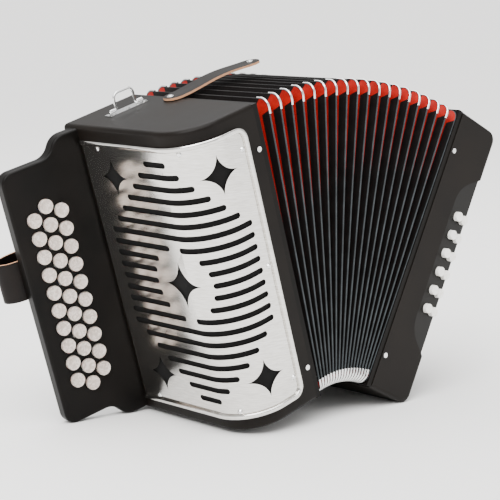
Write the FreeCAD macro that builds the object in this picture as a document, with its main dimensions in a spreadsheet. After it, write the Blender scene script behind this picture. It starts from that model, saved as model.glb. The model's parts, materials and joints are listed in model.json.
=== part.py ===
import FreeCAD, Part
import Sketcher

import math
import os
import re

from FreeCAD import Placement, Rotation, Vector

# Three-row diatonic button accordion, standing open as an arch on the floor.
# Treble pieces are drawn upright in the treble frame: x from the end face towards the bellows,
# y from front to back, z up. Bass pieces use the bass frame: x outwards from the bellows.
# Fingerboard pieces use the board frame: x negative outwards, y into the board, z up.

SIZES = [
    ("casing_height", 300, "height of both casings"),
    ("casing_depth", 180, "front to back"),
    ("treble_width", 85, "treble casing, end face to bellows"),
    ("bass_width", 61, "bass casing, bellows to end face"),
    ("wall", 3, "casing wall"),
    ("end_round", 42, "large corner that the grille wraps around"),
    ("edge_round", 4.5, "moulded edges of the casings"),
    ("bass_round", 11, "outer top and bottom corners of the bass casing"),
    ("fan_angle", 43, "angle between the two ends"),
    ("closed_thickness", 75.2, "bellows and frames when shut"),
    ("hinge_reach", 45, "fan axis from the treble casing's inner face"),
    ("hinge_drop", 7.2, "fan axis below the treble casing"),
    ("frame_thickness", 6, "bellows frame outside the casing"),
    ("frame_tongue", 8, "bellows frame inside the casing"),
    ("tongue_fit", 0.2, "bellows frame's tongue inside the casing wall"),
    ("tongue_wall", 4, "bellows frame's tongue where it is hollowed"),
    ("rim_inset", 0.8, "bellows frame's rim inside the casing's outline"),
    ("frame_band", 20, "width of the bellows frame's rim"),
    ("ridge_count", 18, "bellows ridges"),
    ("ridge_width", 1.6, "tape over each ridge"),
    ("ridge_inset", 2, "ridge inside the casing's outline"),
    ("fold_depth", 18, "ridge to valley"),
    ("fold_wall", 1.2, "card and cloth"),
    ("corner_leg", 10, "leg of a metal corner"),
    ("corner_metal", 0.8, "sheet of a metal corner"),
    ("grille_front", 69, "grille's front edge from the end face"),
    ("grille_rear", 153, "grille's rear edge from the front"),
    ("grille_margin", 14, "grille to the casing's top and bottom"),
    ("grille_sheet", 1.2, "sheet metal"),
    ("grille_border", 13, "border that lies on the casing"),
    ("lip_width", 4, "raised lip"),
    ("lip_height", 2, "raised lip above the sheet"),
    ("grille_corner", 12, "rounded front corners of the grille"),
    ("slot_width", 5.6, "sound slot"),
    ("slot_pitch", 11.9, "slot to slot"),
    ("slot_reach", 86.5, "longest slot from the grille's middle"),
    ("slot_rows", 21, "rows of slots, odd"),
    ("slot_full", 4, "rows of full length on each side of the middle"),
    ("badge_across", 35, "plain oval in the middle, half its width"),
    ("badge_rows", 3.07, "plain oval in the middle, half its height in rows"),
    ("star_reach", 19.5, "star opening, middle to tip"),
    ("star_waist", 8.7, "star opening, middle to hollow side"),
    ("star_across", 64, "stars from the middle, along the sheet"),
    ("star_up", 101.5, "stars from the middle, up and down"),
    ("board_sweep", 7.7, "fingerboard swept back, degrees"),
    ("board_front", 157, "fingerboard face at the end face, from the front"),
    ("board_reach", 89, "fingerboard's width"),
    ("board_thickness", 14, "fingerboard"),
    ("cavity_margin", 4, "lever space beyond the outer buttons"),
    ("board_margin", 20, "fingerboard ends inside the casing height"),
    ("board_skin", 2.2, "fingerboard's face and back"),
    ("board_corner", 12, "outer corners of the fingerboard"),
    ("board_edge", 2.5, "moulded edges of the fingerboard"),
    ("board_brow", 3, "fingerboard's root inside the casing height"),
    ("shoulder_start", 15, "S-shaped shoulder starts, from the casing"),
    ("shoulder_end", 45, "S-shaped shoulder ends, from the casing"),
    ("key_radius", 7, "treble button"),
    ("key_proud", 4.2, "treble button above the board"),
    ("cap_skirt", 0.3, "treble button below the board's face"),
    ("key_pitch", 18.5, "buttons along a row"),
    ("row_gap", 14.9, "row to row"),
    ("middle_row", 52.7, "middle row from the casing"),
    ("keys_centre", 145.4, "height of the rows' middle"),
    ("key_travel", 3.4, "button stroke"),
    ("key_clearance", 0.7, "button in its hole"),
    ("lever_plate", 2.4, "lever sheet"),
    ("lever_depth", 3.4, "lever bar"),
    ("lever_room", 2.2, "lever bar below the board's skin"),
    ("lever_end", 4, "lever bar beyond its button"),
    ("stem_length", 6, "stem under a treble button, along the lever"),
    ("boss_wall", 2.2, "metal around the lever's bore"),
    ("rail_start", 16, "lever rail in front of the grille's rear edge"),
    ("axle_radius", 1.5, "lever axle"),
    ("axle_inset", 9, "axle inside the end face"),
    ("axle_fit", 0.05, "running clearance"),
    ("soundboard_x", 68, "treble soundboard's front from the end face"),
    ("soundboard_thickness", 5, "soundboard"),
    ("plate_gap", 6, "bass soundboard from the bellows frame's tongue"),
    ("pallet_length", 20, "pallet"),
    ("pallet_width", 9, "pallet"),
    ("pallet_thickness", 3.5, "pallet with its felt"),
    ("reed_reach", 22, "treble reed blocks beyond the bellows frame"),
    ("screw_edge", 8, "front grille screws from the grille's front edge"),
    ("screw_step", 115, "front grille screws from the middle one"),
    ("screw_inset", 7, "top and bottom grille screws from the grille's edge"),
    ("screw_near", 70, "top and bottom screws nearer the front, along the sheet"),
    ("screw_far", 182, "top and bottom screws further back, along the sheet"),
    ("screw_head", 2.6, "screw and pin head"),
    ("screw_shank", 1.2, "screw and pin shank"),
    ("scoop_start", 30.5, "front edge of the bass button board"),
    ("scoop_drop", 5.2, "button board below the front at the end face"),
    ("scoop_high", 201, "height of the bass button board at the end face"),
    ("board_back", 16, "back of the bass button board from the front"),
    ("bass_key_radius", 4.9, "bass button"),
    ("bass_key_proud", 5, "bass button above its board"),
    ("bass_key_pitch", 20.2, "bass buttons up and down"),
    ("bass_key_travel", 3, "bass button stroke"),
    ("bass_column_front", 42.5, "front column from the bellows side"),
    ("bass_column_rear", 54, "rear column from the bellows side"),
    ("bass_key_clearance", 0.35, "bass button in its hole"),
    ("stem_radius", 1.5, "bass button stem"),
    ("bail_span", 32, "strap bail, foot to foot"),
    ("bail_height", 16, "strap bail"),
    ("bail_wire", 1.3, "strap bail wire"),
    ("strap_leather", 2.4, "leather straps"),
    ("hand_strap_width", 62, "hand strap on the bass end"),
    ("strap_end", 26, "hand strap's ends from the casing's top and bottom"),
    ("strap_tab", 14, "sewn end of the hand strap"),
    ("strap_bulge", 36, "hand strap out from the end face"),
    ("thumb_strap_width", 40, "thumb strap on the fingerboard's back"),
    ("tie_length", 122, "bellows strap"),
    ("tie_width", 22, "bellows strap"),
    ("tie_start", 76, "bellows strap from the treble end face"),
    ("tie_front", 100, "bellows strap from the front"),
]

doc = FreeCAD.newDocument("button_accordion")
sheet = doc.addObject("Spreadsheet::Sheet", "Sizes")
for row, (alias, amount, note) in enumerate(SIZES, start=1):
    sheet.set("A%d" % row, alias)
    sheet.set("B%d" % row, str(amount))
    sheet.set("C%d" % row, note)
    sheet.setAlias("B%d" % row, alias)
doc.recompute()
ALIASES = [entry[0] for entry in SIZES]
V = {alias: float(getattr(sheet, alias)) for alias in ALIASES}

X_AXIS = Vector(1, 0, 0)
Y_AXIS = Vector(0, 1, 0)
Z_AXIS = Vector(0, 0, 1)
OVER = 1.0
NODES = []


def expression(text):
    """Name the sheet in front of each alias in an expression."""
    return re.sub(r"[a-z]\w+", lambda m: "Sizes." + m.group(0) if m.group(0) in V else m.group(0), text)


def bind(obj, prop, amount):
    """Set a property from a number or from an expression on the sheet."""
    if isinstance(amount, str):
        obj.setExpression(prop, expression(amount))
    elif amount:
        obj.setExpression(prop, repr(float(amount)))


def put(obj, at):
    """Bind an object's position to three numbers or expressions."""
    for axis, amount in zip("xyz", at):
        bind(obj, "Placement.Base." + axis, amount)


def box(name, sides, at=(0, 0, 0), turn=None):
    """A block with its low corner at a place."""
    block = doc.addObject("Part::Box", name)
    if turn:
        block.Placement = Placement(Vector(), turn)
    for prop, amount in zip(("Length", "Width", "Height"), sides):
        bind(block, prop, amount)
    put(block, at)
    return block


def rod(name, radius, length, at=(0, 0, 0), along=Z_AXIS):
    """A cylinder whose foot is at a place, along an axis."""
    cylinder = doc.addObject("Part::Cylinder", name)
    cylinder.Placement = Placement(Vector(), Rotation(Z_AXIS, along))
    bind(cylinder, "Radius", radius)
    bind(cylinder, "Height", length)
    put(cylinder, at)
    return cylinder


def fuse(name, shapes):
    """Join shapes to one solid."""
    joined = doc.addObject("Part::MultiFuse", name)
    joined.Shapes = shapes
    joined.Refine = True
    return joined


def cut(name, base, tools):
    """Take one or more tools away from a base."""
    tool = tools[0] if len(tools) == 1 else gather(name + "_tools", tools)
    result = doc.addObject("Part::Cut", name)
    result.Base = base
    result.Tool = tool
    return result


def gather(name, shapes):
    """Keep separate solids together as one node."""
    group = doc.addObject("Part::Compound", name)
    group.Links = shapes
    return group


def solid(name, shape):
    """A feature that holds a shape made with Part's own functions."""
    feature = doc.addObject("Part::Feature", name)
    feature.Shape = shape
    return feature


def node(name, obj, side):
    """Register a finished sub-part; side names the frame that it is drawn in."""
    obj.Label = name
    NODES.append((name, obj, side))


def sketch_on(body, role, name):
    """A sketch on one of the body's own origin planes."""
    plane = [item for item in body.Origin.OriginFeatures if item.Role == role][0]
    sketch = body.newObject("Sketcher::SketchObject", name)
    sketch.AttachmentSupport = [(plane, "")]
    sketch.MapMode = "FlatFace"
    return sketch


def tie_down(sketch, kind, *where):
    """Add a constraint to a sketch; a dimension starts at its present size."""
    return sketch.addConstraint(Sketcher.Constraint(kind, *where))


def fix(sketch, kind, where, text):
    """Add a dimension to a sketch and bind it to the sheet."""
    number = tie_down(sketch, kind, *where)
    sketch.setExpression("Constraints[%d]" % number, expression(text))


def line(x0, y0, x1, y1):
    """A sketch line."""
    return Part.LineSegment(Vector(x0, y0, 0), Vector(x1, y1, 0))


def arc(x, y, radius, first, last):
    """A sketch arc, anticlockwise between two angles in degrees."""
    circle = Part.Circle(Vector(x, y, 0), Z_AXIS, radius)
    return Part.ArcOfCircle(circle, math.radians(first), math.radians(last))


def pad(body, sketch, name, length):
    """Pad a sketch by a bound length."""
    feature = body.newObject("PartDesign::Pad", name)
    feature.Profile = sketch
    bind(feature, "Length", length)
    sketch.Visibility = False
    return feature


# --- casings -------------------------------------------------------------------------------

def treble_block(name, inset, far, low, high):
    """Casing footprint with its large front corner, drawn inside the outline by an inset."""
    body = doc.addObject("PartDesign::Body", name)
    sketch = sketch_on(body, "XY_Plane", name + "_footprint")
    gap = V["wall"] if inset != "0" else 0
    reach, deep, bend = V["treble_width"], V["casing_depth"] - gap, V["end_round"]
    sketch.addGeometry([
        line(reach, gap, bend, gap),
        arc(bend, bend, bend - gap, 180, 270),
        line(gap, bend, gap, deep),
        line(gap, deep, reach, deep),
        line(reach, deep, reach, gap),
    ], False)
    for first, second in (((0, 2), (1, 2)), ((1, 1), (2, 1))):
        tie_down(sketch, "Tangent", *first, *second)
    for first, second in (((2, 2), (3, 1)), ((3, 2), (4, 1)), ((4, 2), (0, 1))):
        tie_down(sketch, "Coincident", *first, *second)
    for kind, item in (("Horizontal", 0), ("Vertical", 2), ("Horizontal", 3), ("Vertical", 4)):
        tie_down(sketch, kind, item)
    fix(sketch, "DistanceX", (-1, 1, 1, 3, bend), "end_round")
    fix(sketch, "DistanceY", (-1, 1, 1, 3, bend), "end_round")
    fix(sketch, "Radius", (1, bend - gap), "end_round - " + inset)
    fix(sketch, "DistanceX", (-1, 1, 3, 2, reach), far)
    fix(sketch, "DistanceY", (-1, 1, 3, 2, deep), "casing_depth - " + inset)
    sketch.setExpression("AttachmentOffset.Base.z", expression(low))
    pad(body, sketch, name + "_pad", high)
    return body


def bass_block(name, inset, near, front, depth):
    """Bass casing profile with two rounded outer corners, drawn inside the outline by an inset."""
    body = doc.addObject("PartDesign::Body", name)
    sketch = sketch_on(body, "XZ_Plane", name + "_profile")
    gap = V["wall"] if inset != "0" else 0
    start = -OVER if inset != "0" else 0
    wide, tall, bend = V["bass_width"] - gap, V["casing_height"] - gap, V["bass_round"]
    low_bend, high_bend = bend, V["casing_height"] - bend
    round_x = V["bass_width"] - bend
    sketch.addGeometry([
        line(start, gap, round_x, gap),
        arc(round_x, low_bend, bend - gap, 270, 360),
        line(wide, low_bend, wide, high_bend),
        arc(round_x, high_bend, bend - gap, 0, 90),
        line(round_x, tall, start, tall),
        line(start, tall, start, gap),
    ], False)
    for first, second in (((0, 2), (1, 1)), ((1, 2), (2, 1)), ((2, 2), (3, 1)), ((3, 2), (4, 1))):
        tie_down(sketch, "Tangent", *first, *second)
    for first, second in (((4, 2), (5, 1)), ((5, 2), (0, 1))):
        tie_down(sketch, "Coincident", *first, *second)
    for kind, item in (("Horizontal", 0), ("Vertical", 2), ("Horizontal", 4), ("Vertical", 5)):
        tie_down(sketch, kind, item)
    fix(sketch, "DistanceX", (-1, 1, 1, 3, round_x), "bass_width - bass_round")
    fix(sketch, "DistanceY", (-1, 1, 1, 3, low_bend), "bass_round")
    fix(sketch, "DistanceY", (-1, 1, 3, 3, high_bend), "casing_height - bass_round")
    fix(sketch, "Radius", (1, bend - gap), "bass_round - " + inset)
    fix(sketch, "Radius", (3, bend - gap), "bass_round - " + inset)
    fix(sketch, "DistanceX", (-1, 1, 0, 1, start), near)
    sketch.setExpression("AttachmentOffset.Base.z", expression("-(%s) - (%s)" % (front, depth)))
    pad(body, sketch, name + "_pad", depth)
    return body


def round_edges(body, name, wanted):
    """Fillet the edges of the body's last feature that a test picks."""
    doc.recompute()
    base = body.Tip
    edges = ["Edge%d" % (i + 1) for i, edge in enumerate(base.Shape.Edges) if wanted(edge)]
    fillet = body.newObject("PartDesign::Fillet", name)
    fillet.Base = (base, edges)
    bind(fillet, "Radius", "edge_round")
    body.Tip = fillet


def treble_edge(edge):
    """Top and bottom edges and the rear upright, but nothing on the open bellows side."""
    low, high = edge.BoundBox.XMin, edge.BoundBox.XMax
    upright = edge.BoundBox.ZLength > OVER
    if low > V["treble_width"] - OVER:
        return False
    return not upright or (high < OVER and edge.BoundBox.YMin > V["casing_depth"] - OVER)


def bass_edge(edge):
    """Front and back outlines, but nothing on the open bellows side."""
    return edge.BoundBox.YLength < OVER and edge.BoundBox.XMax > OVER


GRILLE_TALL = V["casing_height"] - 2 * V["grille_margin"]
MID_HEIGHT = V["casing_height"] / 2
FRONT_FLAT = V["grille_front"] - V["end_round"]
CORNER_RUN = V["end_round"] * math.pi / 2
GRILLE_RUN = FRONT_FLAT + CORNER_RUN + V["grille_rear"] - V["end_round"]
GRILLE_MIDDLE = GRILLE_RUN / 2


def grille_point(run, out):
    """Point on the wrapped sheet: run starts at the front edge, out is away from the casing."""
    if run < FRONT_FLAT:
        return Vector(V["grille_front"] - run, -out, 0), Vector(0, -1, 0)
    if run < FRONT_FLAT + CORNER_RUN:
        angle = math.pi * 1.5 - (run - FRONT_FLAT) / V["end_round"]
        outward = Vector(math.cos(angle), math.sin(angle), 0)
        centre = Vector(V["end_round"], V["end_round"], 0)
        return centre + outward * (V["end_round"] + out), outward
    return Vector(-out, V["end_round"] + run - FRONT_FLAT - CORNER_RUN, 0), Vector(-1, 0, 0)


def grille_chain(first, last, out):
    """Edges of the wrapped sheet's section between two runs."""
    stops = [first] + [s for s in (FRONT_FLAT, FRONT_FLAT + CORNER_RUN) if first < s < last] + [last]
    edges = []
    for start, end in zip(stops, stops[1:]):
        begin = grille_point(start, out)[0]
        finish = grille_point(end - 1e-9, out)[0]
        middle = grille_point((start + end) / 2, out)[0]
        if FRONT_FLAT <= start < FRONT_FLAT + CORNER_RUN:
            edges.append(Part.Arc(begin, middle, finish).toShape())
        else:
            edges.append(Part.makeLine(begin, finish))
    return edges


def wrapped(first, last, low, high, inner, outer):
    """A band of the wrapped sheet between two runs, two heights and two offsets."""
    outside = grille_chain(first, last, outer)
    inside = grille_chain(first, last, inner)
    caps = [
        Part.makeLine(grille_point(first, inner)[0], grille_point(first, outer)[0]),
        Part.makeLine(grille_point(last - 1e-9, inner)[0], grille_point(last - 1e-9, outer)[0]),
    ]
    wire = Part.Wire(Part.__sortEdges__(outside + inside + caps))
    face = Part.Face(wire)
    face.translate(Vector(0, 0, low))
    return face.extrude(Vector(0, 0, high - low))


def front_corners(inset, low, high, radius):
    """Tools that round the front corners of a wrapped band."""
    edge = V["grille_front"] - inset
    tools = []
    for foot, middle in ((low - OVER, low + radius), (high - radius, high - radius)):
        block = Part.makeBox(radius + OVER, 3 * V["grille_border"], radius + OVER,
                             Vector(edge - radius, -V["grille_border"], foot))
        tools.append(block.cut(Part.makeCylinder(radius, 3 * V["grille_border"],
                                                 Vector(edge - radius, -V["grille_border"], middle), Y_AXIS)))
    return tools


def grille_slot(first, last, height):
    """A round-ended slot tool that follows the wrapped sheet."""
    half = V["slot_width"] / 2
    pieces = [wrapped(first + half, last - half, height - half, height + half, -OVER, 3 * OVER)]
    for run in (first + half, last - half):
        point, outward = grille_point(run, -OVER)
        pieces.append(Part.makeCylinder(half, 4 * OVER, point + Z_AXIS * height, outward))
    return pieces


def grille_star(run, height, scale=1.0):
    """A four-pointed star tool, square to the sheet at its middle."""
    point, outward = grille_point(run, -8 * OVER)
    sideways = Z_AXIS.cross(outward)
    tip, waist = V["star_reach"] * scale, V["star_waist"] * scale
    edges = []
    for quarter in range(4):
        spots = []
        for turn, reach in ((0, tip), (0.5, waist), (1, tip)):
            angle = (quarter + turn) * math.pi / 2
            spots.append(sideways * (reach * math.cos(angle)) + Z_AXIS * (reach * math.sin(angle)))
        edges.append(Part.Arc(*spots).toShape())
    face = Part.Face(Part.Wire(edges))
    face.translate(point + Z_AXIS * height)
    return face.extrude(outward * 24 * OVER)


def slot_rows():
    """Runs and heights of the lens-shaped slot pattern, with a plain oval in the middle."""
    rows = []
    half_count = int(V["slot_rows"]) // 2
    for number in range(-half_count, half_count + 1):
        height = MID_HEIGHT + number * V["slot_pitch"]
        reach = V["slot_reach"] - max(0, abs(number) - V["slot_full"]) * V["slot_pitch"]
        if abs(number) > V["badge_rows"]:
            rows.append((GRILLE_MIDDLE - reach, GRILLE_MIDDLE + reach, height))
            continue
        gap = V["badge_across"] * math.sqrt(1 - (number / V["badge_rows"]) ** 2)
        rows.append((GRILLE_MIDDLE - reach, GRILLE_MIDDLE - gap, height))
        rows.append((GRILLE_MIDDLE + gap, GRILLE_MIDDLE + reach, height))
    return rows


def screw_places():
    """Run and height of each grille screw."""
    rise = GRILLE_TALL / 2 - V["screw_inset"]
    runs = (V["screw_near"], V["screw_far"])
    places = [(V["screw_edge"], MID_HEIGHT + way * V["screw_step"]) for way in (-1, 0, 1)]
    places += [(run, MID_HEIGHT + way * rise) for run in runs for way in (-1, 1)]
    return places


casing_outside = treble_block("treble_outside", "0", "treble_width", "0", "casing_height")
round_edges(casing_outside, "treble_rounding", treble_edge)
casing_inside = treble_block("treble_inside", "wall", "treble_width + 1", "wall", "casing_height - 2 * wall")
window = box("grille_window",
             ("grille_front - grille_border + 5", "grille_rear - grille_border + 5",
              "casing_height - 2 * grille_margin - 2 * grille_border"),
             (-5, -5, "grille_margin + grille_border"))
lever_slot = box("lever_slot", ("wall + 2", "board_thickness - 2 * board_skin + 1", "11 * key_pitch"),
                 (-1, "board_front + board_skin", "keys_centre - 5.5 * key_pitch"))


def pin_holes(prefix, x_text, radius, spots):
    """Rods through the front and back walls at the bellows pins."""
    return [rod("%s_%d" % (prefix, i), radius, "casing_depth + 2", (x_text, -1, height), Y_AXIS)
            for i, height in enumerate(spots)]


PIN_HEIGHTS = ("casing_height * 0.12", "casing_height * 0.86")
TREBLE_PIN_X = "treble_width - frame_tongue / 2"
BASS_PIN_X = "frame_tongue / 2"
PIN_HOLE = "screw_shank + 0.05"
screw_holes = []
for index, (run, height) in enumerate(screw_places()):
    point, outward = grille_point(run, V["grille_sheet"] + OVER)
    hole = Part.makeCylinder(V["screw_shank"] + 0.05, 3 * V["wall"], point + Z_AXIS * height, -outward)
    screw_holes.append(hole)
casing_screw_holes = solid("grille_screw_holes", Part.makeCompound(screw_holes))
treble_casing = cut("treble_casing_cut", casing_outside,
                    [casing_inside, window, lever_slot, casing_screw_holes]
                    + pin_holes("treble_pin_hole", TREBLE_PIN_X, PIN_HOLE, PIN_HEIGHTS))
node("treble_casing", treble_casing, "treble")

# --- grille --------------------------------------------------------------------------------

low, high = V["grille_margin"], V["casing_height"] - V["grille_margin"]
sheet_out, lip_out = V["grille_sheet"], V["grille_sheet"] + V["lip_height"]
grille = wrapped(0, GRILLE_RUN, low, high, 0, lip_out)
grille = grille.cut(front_corners(0, low, high, V["grille_corner"]))
lip = V["lip_width"]
hollow = wrapped(lip, GRILLE_RUN + OVER, low + lip, high - lip, sheet_out, lip_out + OVER)
hollow = hollow.cut(front_corners(lip, low + lip, high - lip, V["grille_corner"] - lip))
openings = []
for first, last, height in slot_rows():
    openings += grille_slot(first, last, height)
for side in (-1, 1):
    for way in (-1, 1):
        openings.append(grille_star(GRILLE_MIDDLE + side * V["star_across"], MID_HEIGHT + way * V["star_up"]))
openings.append(grille_star(GRILLE_MIDDLE, MID_HEIGHT, 1.2))
grille = grille.cut([hollow])
grille = grille.cut(openings + screw_holes)
node("treble_grille", solid("grille_shape", grille), "treble")

SEAT = 0.1
screws = []
for run, height in screw_places():
    point, outward = grille_point(run, V["grille_sheet"] + SEAT)
    start = point + Z_AXIS * height
    head = Part.makeCone(V["screw_head"], V["screw_head"] * 0.6, V["screw_shank"], start, outward)
    shank = Part.makeCylinder(V["screw_shank"], V["grille_sheet"] + V["wall"], start, -outward)
    screws.append(head.fuse(shank))
node("grille_screws", solid("grille_screw_group", Part.makeCompound(screws)), "treble")

# --- fingerboard ---------------------------------------------------------------------------

def board_outline():
    """Fingerboard seen from the front, with S-shaped shoulders and rounded outer corners."""
    body = doc.addObject("PartDesign::Body", "board_outside")
    sketch = sketch_on(body, "XZ_Plane", "board_profile")
    reach, tall, margin, bend = V["board_reach"], V["casing_height"], V["board_margin"], V["board_corner"]
    heel, brow, tip = V["shoulder_start"], V["board_brow"], V["shoulder_end"]
    rise = margin - brow
    sweep = ((tip - heel) ** 2 + rise ** 2) / (4 * rise)
    half_x, half_z = (heel + tip) / 2, (brow + margin) / 2
    turn = math.degrees(math.asin((tip - heel) / 2 / sweep))
    sketch.addGeometry([
        line(OVER, brow, -heel, brow),
        arc(-heel, brow + sweep, sweep, 270 - turn, 270),
        arc(-tip, margin - sweep, sweep, 90 - turn, 90),
        line(-tip, margin, -reach + bend, margin),
        arc(-reach + bend, margin + bend, bend, 180, 270),
        line(-reach, margin + bend, -reach, tall - margin - bend),
        arc(-reach + bend, tall - margin - bend, bend, 90, 180),
        line(-reach + bend, tall - margin, -tip, tall - margin),
        arc(-tip, tall - margin + sweep, sweep, 270, 270 + turn),
        arc(-heel, tall - brow - sweep, sweep, 90, 90 + turn),
        line(-heel, tall - brow, OVER, tall - brow),
        line(OVER, tall - brow, OVER, brow),
    ], False)
    joins = (((0, 2), (1, 2)), ((1, 1), (2, 1)), ((2, 2), (3, 1)), ((3, 2), (4, 2)), ((4, 1), (5, 1)),
             ((5, 2), (6, 2)), ((6, 1), (7, 1)), ((7, 2), (8, 1)), ((8, 2), (9, 2)), ((9, 1), (10, 1)))
    for first, second in joins:
        tie_down(sketch, "Tangent", *first, *second)
    for first, second in (((10, 2), (11, 1)), ((11, 2), (0, 1))):
        tie_down(sketch, "Coincident", *first, *second)
    for kind, item in (("Horizontal", 0), ("Horizontal", 3), ("Vertical", 5), ("Horizontal", 7),
                       ("Horizontal", 10), ("Vertical", 11)):
        tie_down(sketch, kind, item)
    fix(sketch, "DistanceX", (1, 3, -1, 1, heel), "shoulder_start")
    fix(sketch, "DistanceX", (2, 3, -1, 1, tip), "shoulder_end")
    fix(sketch, "DistanceX", (8, 3, -1, 1, tip), "shoulder_end")
    fix(sketch, "DistanceX", (9, 3, -1, 1, heel), "shoulder_start")
    fix(sketch, "DistanceX", (5, 1, -1, 1, reach), "board_reach")
    fix(sketch, "DistanceY", (-1, 1, 0, 1, brow), "board_brow")
    fix(sketch, "DistanceY", (-1, 1, 3, 1, margin), "board_margin")
    fix(sketch, "DistanceY", (-1, 1, 7, 1, tall - margin), "casing_height - board_margin")
    fix(sketch, "DistanceY", (-1, 1, 10, 1, tall - brow), "casing_height - board_brow")
    fix(sketch, "DistanceX", (-1, 1, 11, 1, OVER), "1")
    fix(sketch, "Radius", (4, bend), "board_corner")
    fix(sketch, "Radius", (6, bend), "board_corner")
    tie_down(sketch, "Equal", 1, 2)
    tie_down(sketch, "Equal", 8, 9)
    sketch.setExpression("AttachmentOffset.Base.z", expression("-board_thickness"))
    pad(body, sketch, "board_pad", "board_thickness")
    doc.recompute()
    base = body.Tip
    edges = ["Edge%d" % (i + 1) for i, edge in enumerate(base.Shape.Edges)
             if edge.BoundBox.YLength < OVER / 2 and edge.BoundBox.XMin < -OVER]
    fillet = body.newObject("PartDesign::Fillet", "board_rounding")
    fillet.Base = (base, edges)
    bind(fillet, "Radius", "board_edge")
    body.Tip = fillet
    return body


def key_rows():
    """Each key: its number, row offset text, row distance, height text and side of its lever."""
    keys = []
    for row, count, side in ((0, 11, 0), (1, 10, -1), (-1, 10, 1)):
        for place in range(count):
            steps = place - (count - 1) / 2
            keys.append((row, steps, side))
    keys.sort(key=lambda key: (-key[1], -key[0]))
    return keys


KEYS = key_rows()
LANE = "key_pitch / 6"
TRIM_REACH = 40
board = board_outline()
cavity_reach = "(middle_row + row_gap + key_radius + cavity_margin)"
board_cavity = box("board_cavity",
                   (cavity_reach + " + 1", "board_thickness - 2 * board_skin", "11 * key_pitch"),
                   ("-" + cavity_reach, "board_skin", "keys_centre - 5.5 * key_pitch"))
board_holes = []
for number, (row, steps, side) in enumerate(KEYS, start=1):
    spot = ("-(middle_row + %d * row_gap)" % row, -1, "keys_centre + %s * key_pitch" % steps)
    board_holes.append(rod("board_hole_%02d" % number, "key_radius + key_clearance", "board_skin + 2",
                           spot, Y_AXIS))
trim_corner = Rotation(Z_AXIS, V["board_sweep"]).multVec(Vector(0, -TRIM_REACH, 0))
casing_side = box("board_trim", (TRIM_REACH, 2 * TRIM_REACH, "casing_height + 2"),
                  (trim_corner.x, trim_corner.y, -1), Rotation(Z_AXIS, V["board_sweep"]))
fingerboard = cut("fingerboard_cut", board, [board_cavity, casing_side] + board_holes)
node("fingerboard", fingerboard, "board")

# --- keys: button, lever and pallet in one piece, turning on a common axle -------------------

SWEEP = math.radians(V["board_sweep"])


def on_board(x, y):
    """Treble frame position seen in the board frame."""
    rear = y - V["board_front"]
    return Vector(math.cos(SWEEP) * x - math.sin(SWEEP) * rear,
                  math.sin(SWEEP) * x + math.cos(SWEEP) * rear, 0)


LEVER_TOP = V["board_skin"] + V["lever_room"]
AXLE_DEPTH = LEVER_TOP + V["lever_depth"] / 2
ARM_FACE = V["soundboard_x"] - V["pallet_thickness"]
PALLET_ROWS = {1: 28.0, 0: 62.0, -1: 96.0}
elbow = on_board(ARM_FACE - V["lever_depth"], V["grille_rear"] - 18)
hub = Vector(V["axle_inset"], AXLE_DEPTH, 0)
link = elbow - hub
link_angle = math.degrees(math.atan2(link.y, link.x))
unsweep = Rotation(Z_AXIS, V["board_sweep"])


def make_key(number, row, steps, side):
    """One key: cap, stem, lever bar, hub, link, rail and pallet as touching solids."""
    name = "treble_key_%02d" % number
    height = "keys_centre + %s * key_pitch" % steps
    lane = "%s + %d * %s - lever_plate / 2" % (height, -side, LANE)
    reach = "(middle_row + %d * row_gap)" % row
    cap = rod(name + "_cap", "key_radius", "key_proud + cap_skirt",
              ("-" + reach, "-key_proud", height), Y_AXIS)
    stem = box(name + "_stem", ("stem_length", "board_skin + lever_room - cap_skirt", "lever_plate"),
               ("-%s - stem_length / 2" % reach, "cap_skirt", lane))
    bar = box(name + "_bar", (reach + " + lever_end + axle_inset", "lever_depth", "lever_plate"),
              ("-%s - lever_end" % reach, LEVER_TOP, lane))
    boss = rod(name + "_boss", "axle_radius + boss_wall", "lever_plate", ("axle_inset", AXLE_DEPTH, lane))
    arm = box(name + "_arm", (link.Length, "lever_depth", "lever_plate"), (0, 0, lane),
              Rotation(Z_AXIS, link_angle))
    across = Vector(-math.sin(math.radians(link_angle)), math.cos(math.radians(link_angle)), 0)
    shifted = hub - across * (V["lever_depth"] / 2)
    put(arm, (shifted.x, shifted.y, lane))
    rail_rear = V["grille_rear"] - V["rail_start"]
    far = rail_rear - PALLET_ROWS[row] - V["pallet_length"]
    corner = on_board(ARM_FACE - V["lever_depth"], far)
    rail = box(name + "_rail", ("lever_depth", rail_rear - far, "lever_plate"),
               (corner.x, corner.y, lane), unsweep)
    lever = cut(name + "_lever", bar, [boss])
    link_piece = cut(name + "_link", arm, [boss, rail])
    bore = rod(name + "_bore", "axle_radius + axle_fit", "lever_plate + 2",
               ("axle_inset", AXLE_DEPTH, lane + " - 1"))
    hub_ring = cut(name + "_hub", boss, [bore])
    seat = on_board(ARM_FACE, far)
    pallet = box(name + "_pallet", ("pallet_thickness", "pallet_length", "pallet_width"),
                 (seat.x, seat.y, lane + " + lever_plate / 2 - pallet_width / 2"), unsweep)
    node(name, gather(name + "_parts", [cap, stem, lever, hub_ring, link_piece, rail, pallet]), "board")
    return far


tone_holes = []
for number, (row, steps, side) in enumerate(KEYS, start=1):
    pallet_low = make_key(number, row, steps, side)
    tone_holes.append(box("tone_hole_%02d" % number,
                          ("soundboard_thickness + 2", "pallet_length - 5", "pallet_width - 3.5"),
                          ("soundboard_x - 1", pallet_low + 2.5,
                           "keys_centre + %s * key_pitch + %d * %s - pallet_width / 2 + 1.75"
                           % (steps, -side, LANE))))
key_axle = rod("key_axle_rod", "axle_radius", "12 * key_pitch",
               ("axle_inset", AXLE_DEPTH, "keys_centre - 6 * key_pitch"))
node("key_axle", gather("key_axle_parts", [key_axle]), "board")

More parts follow.
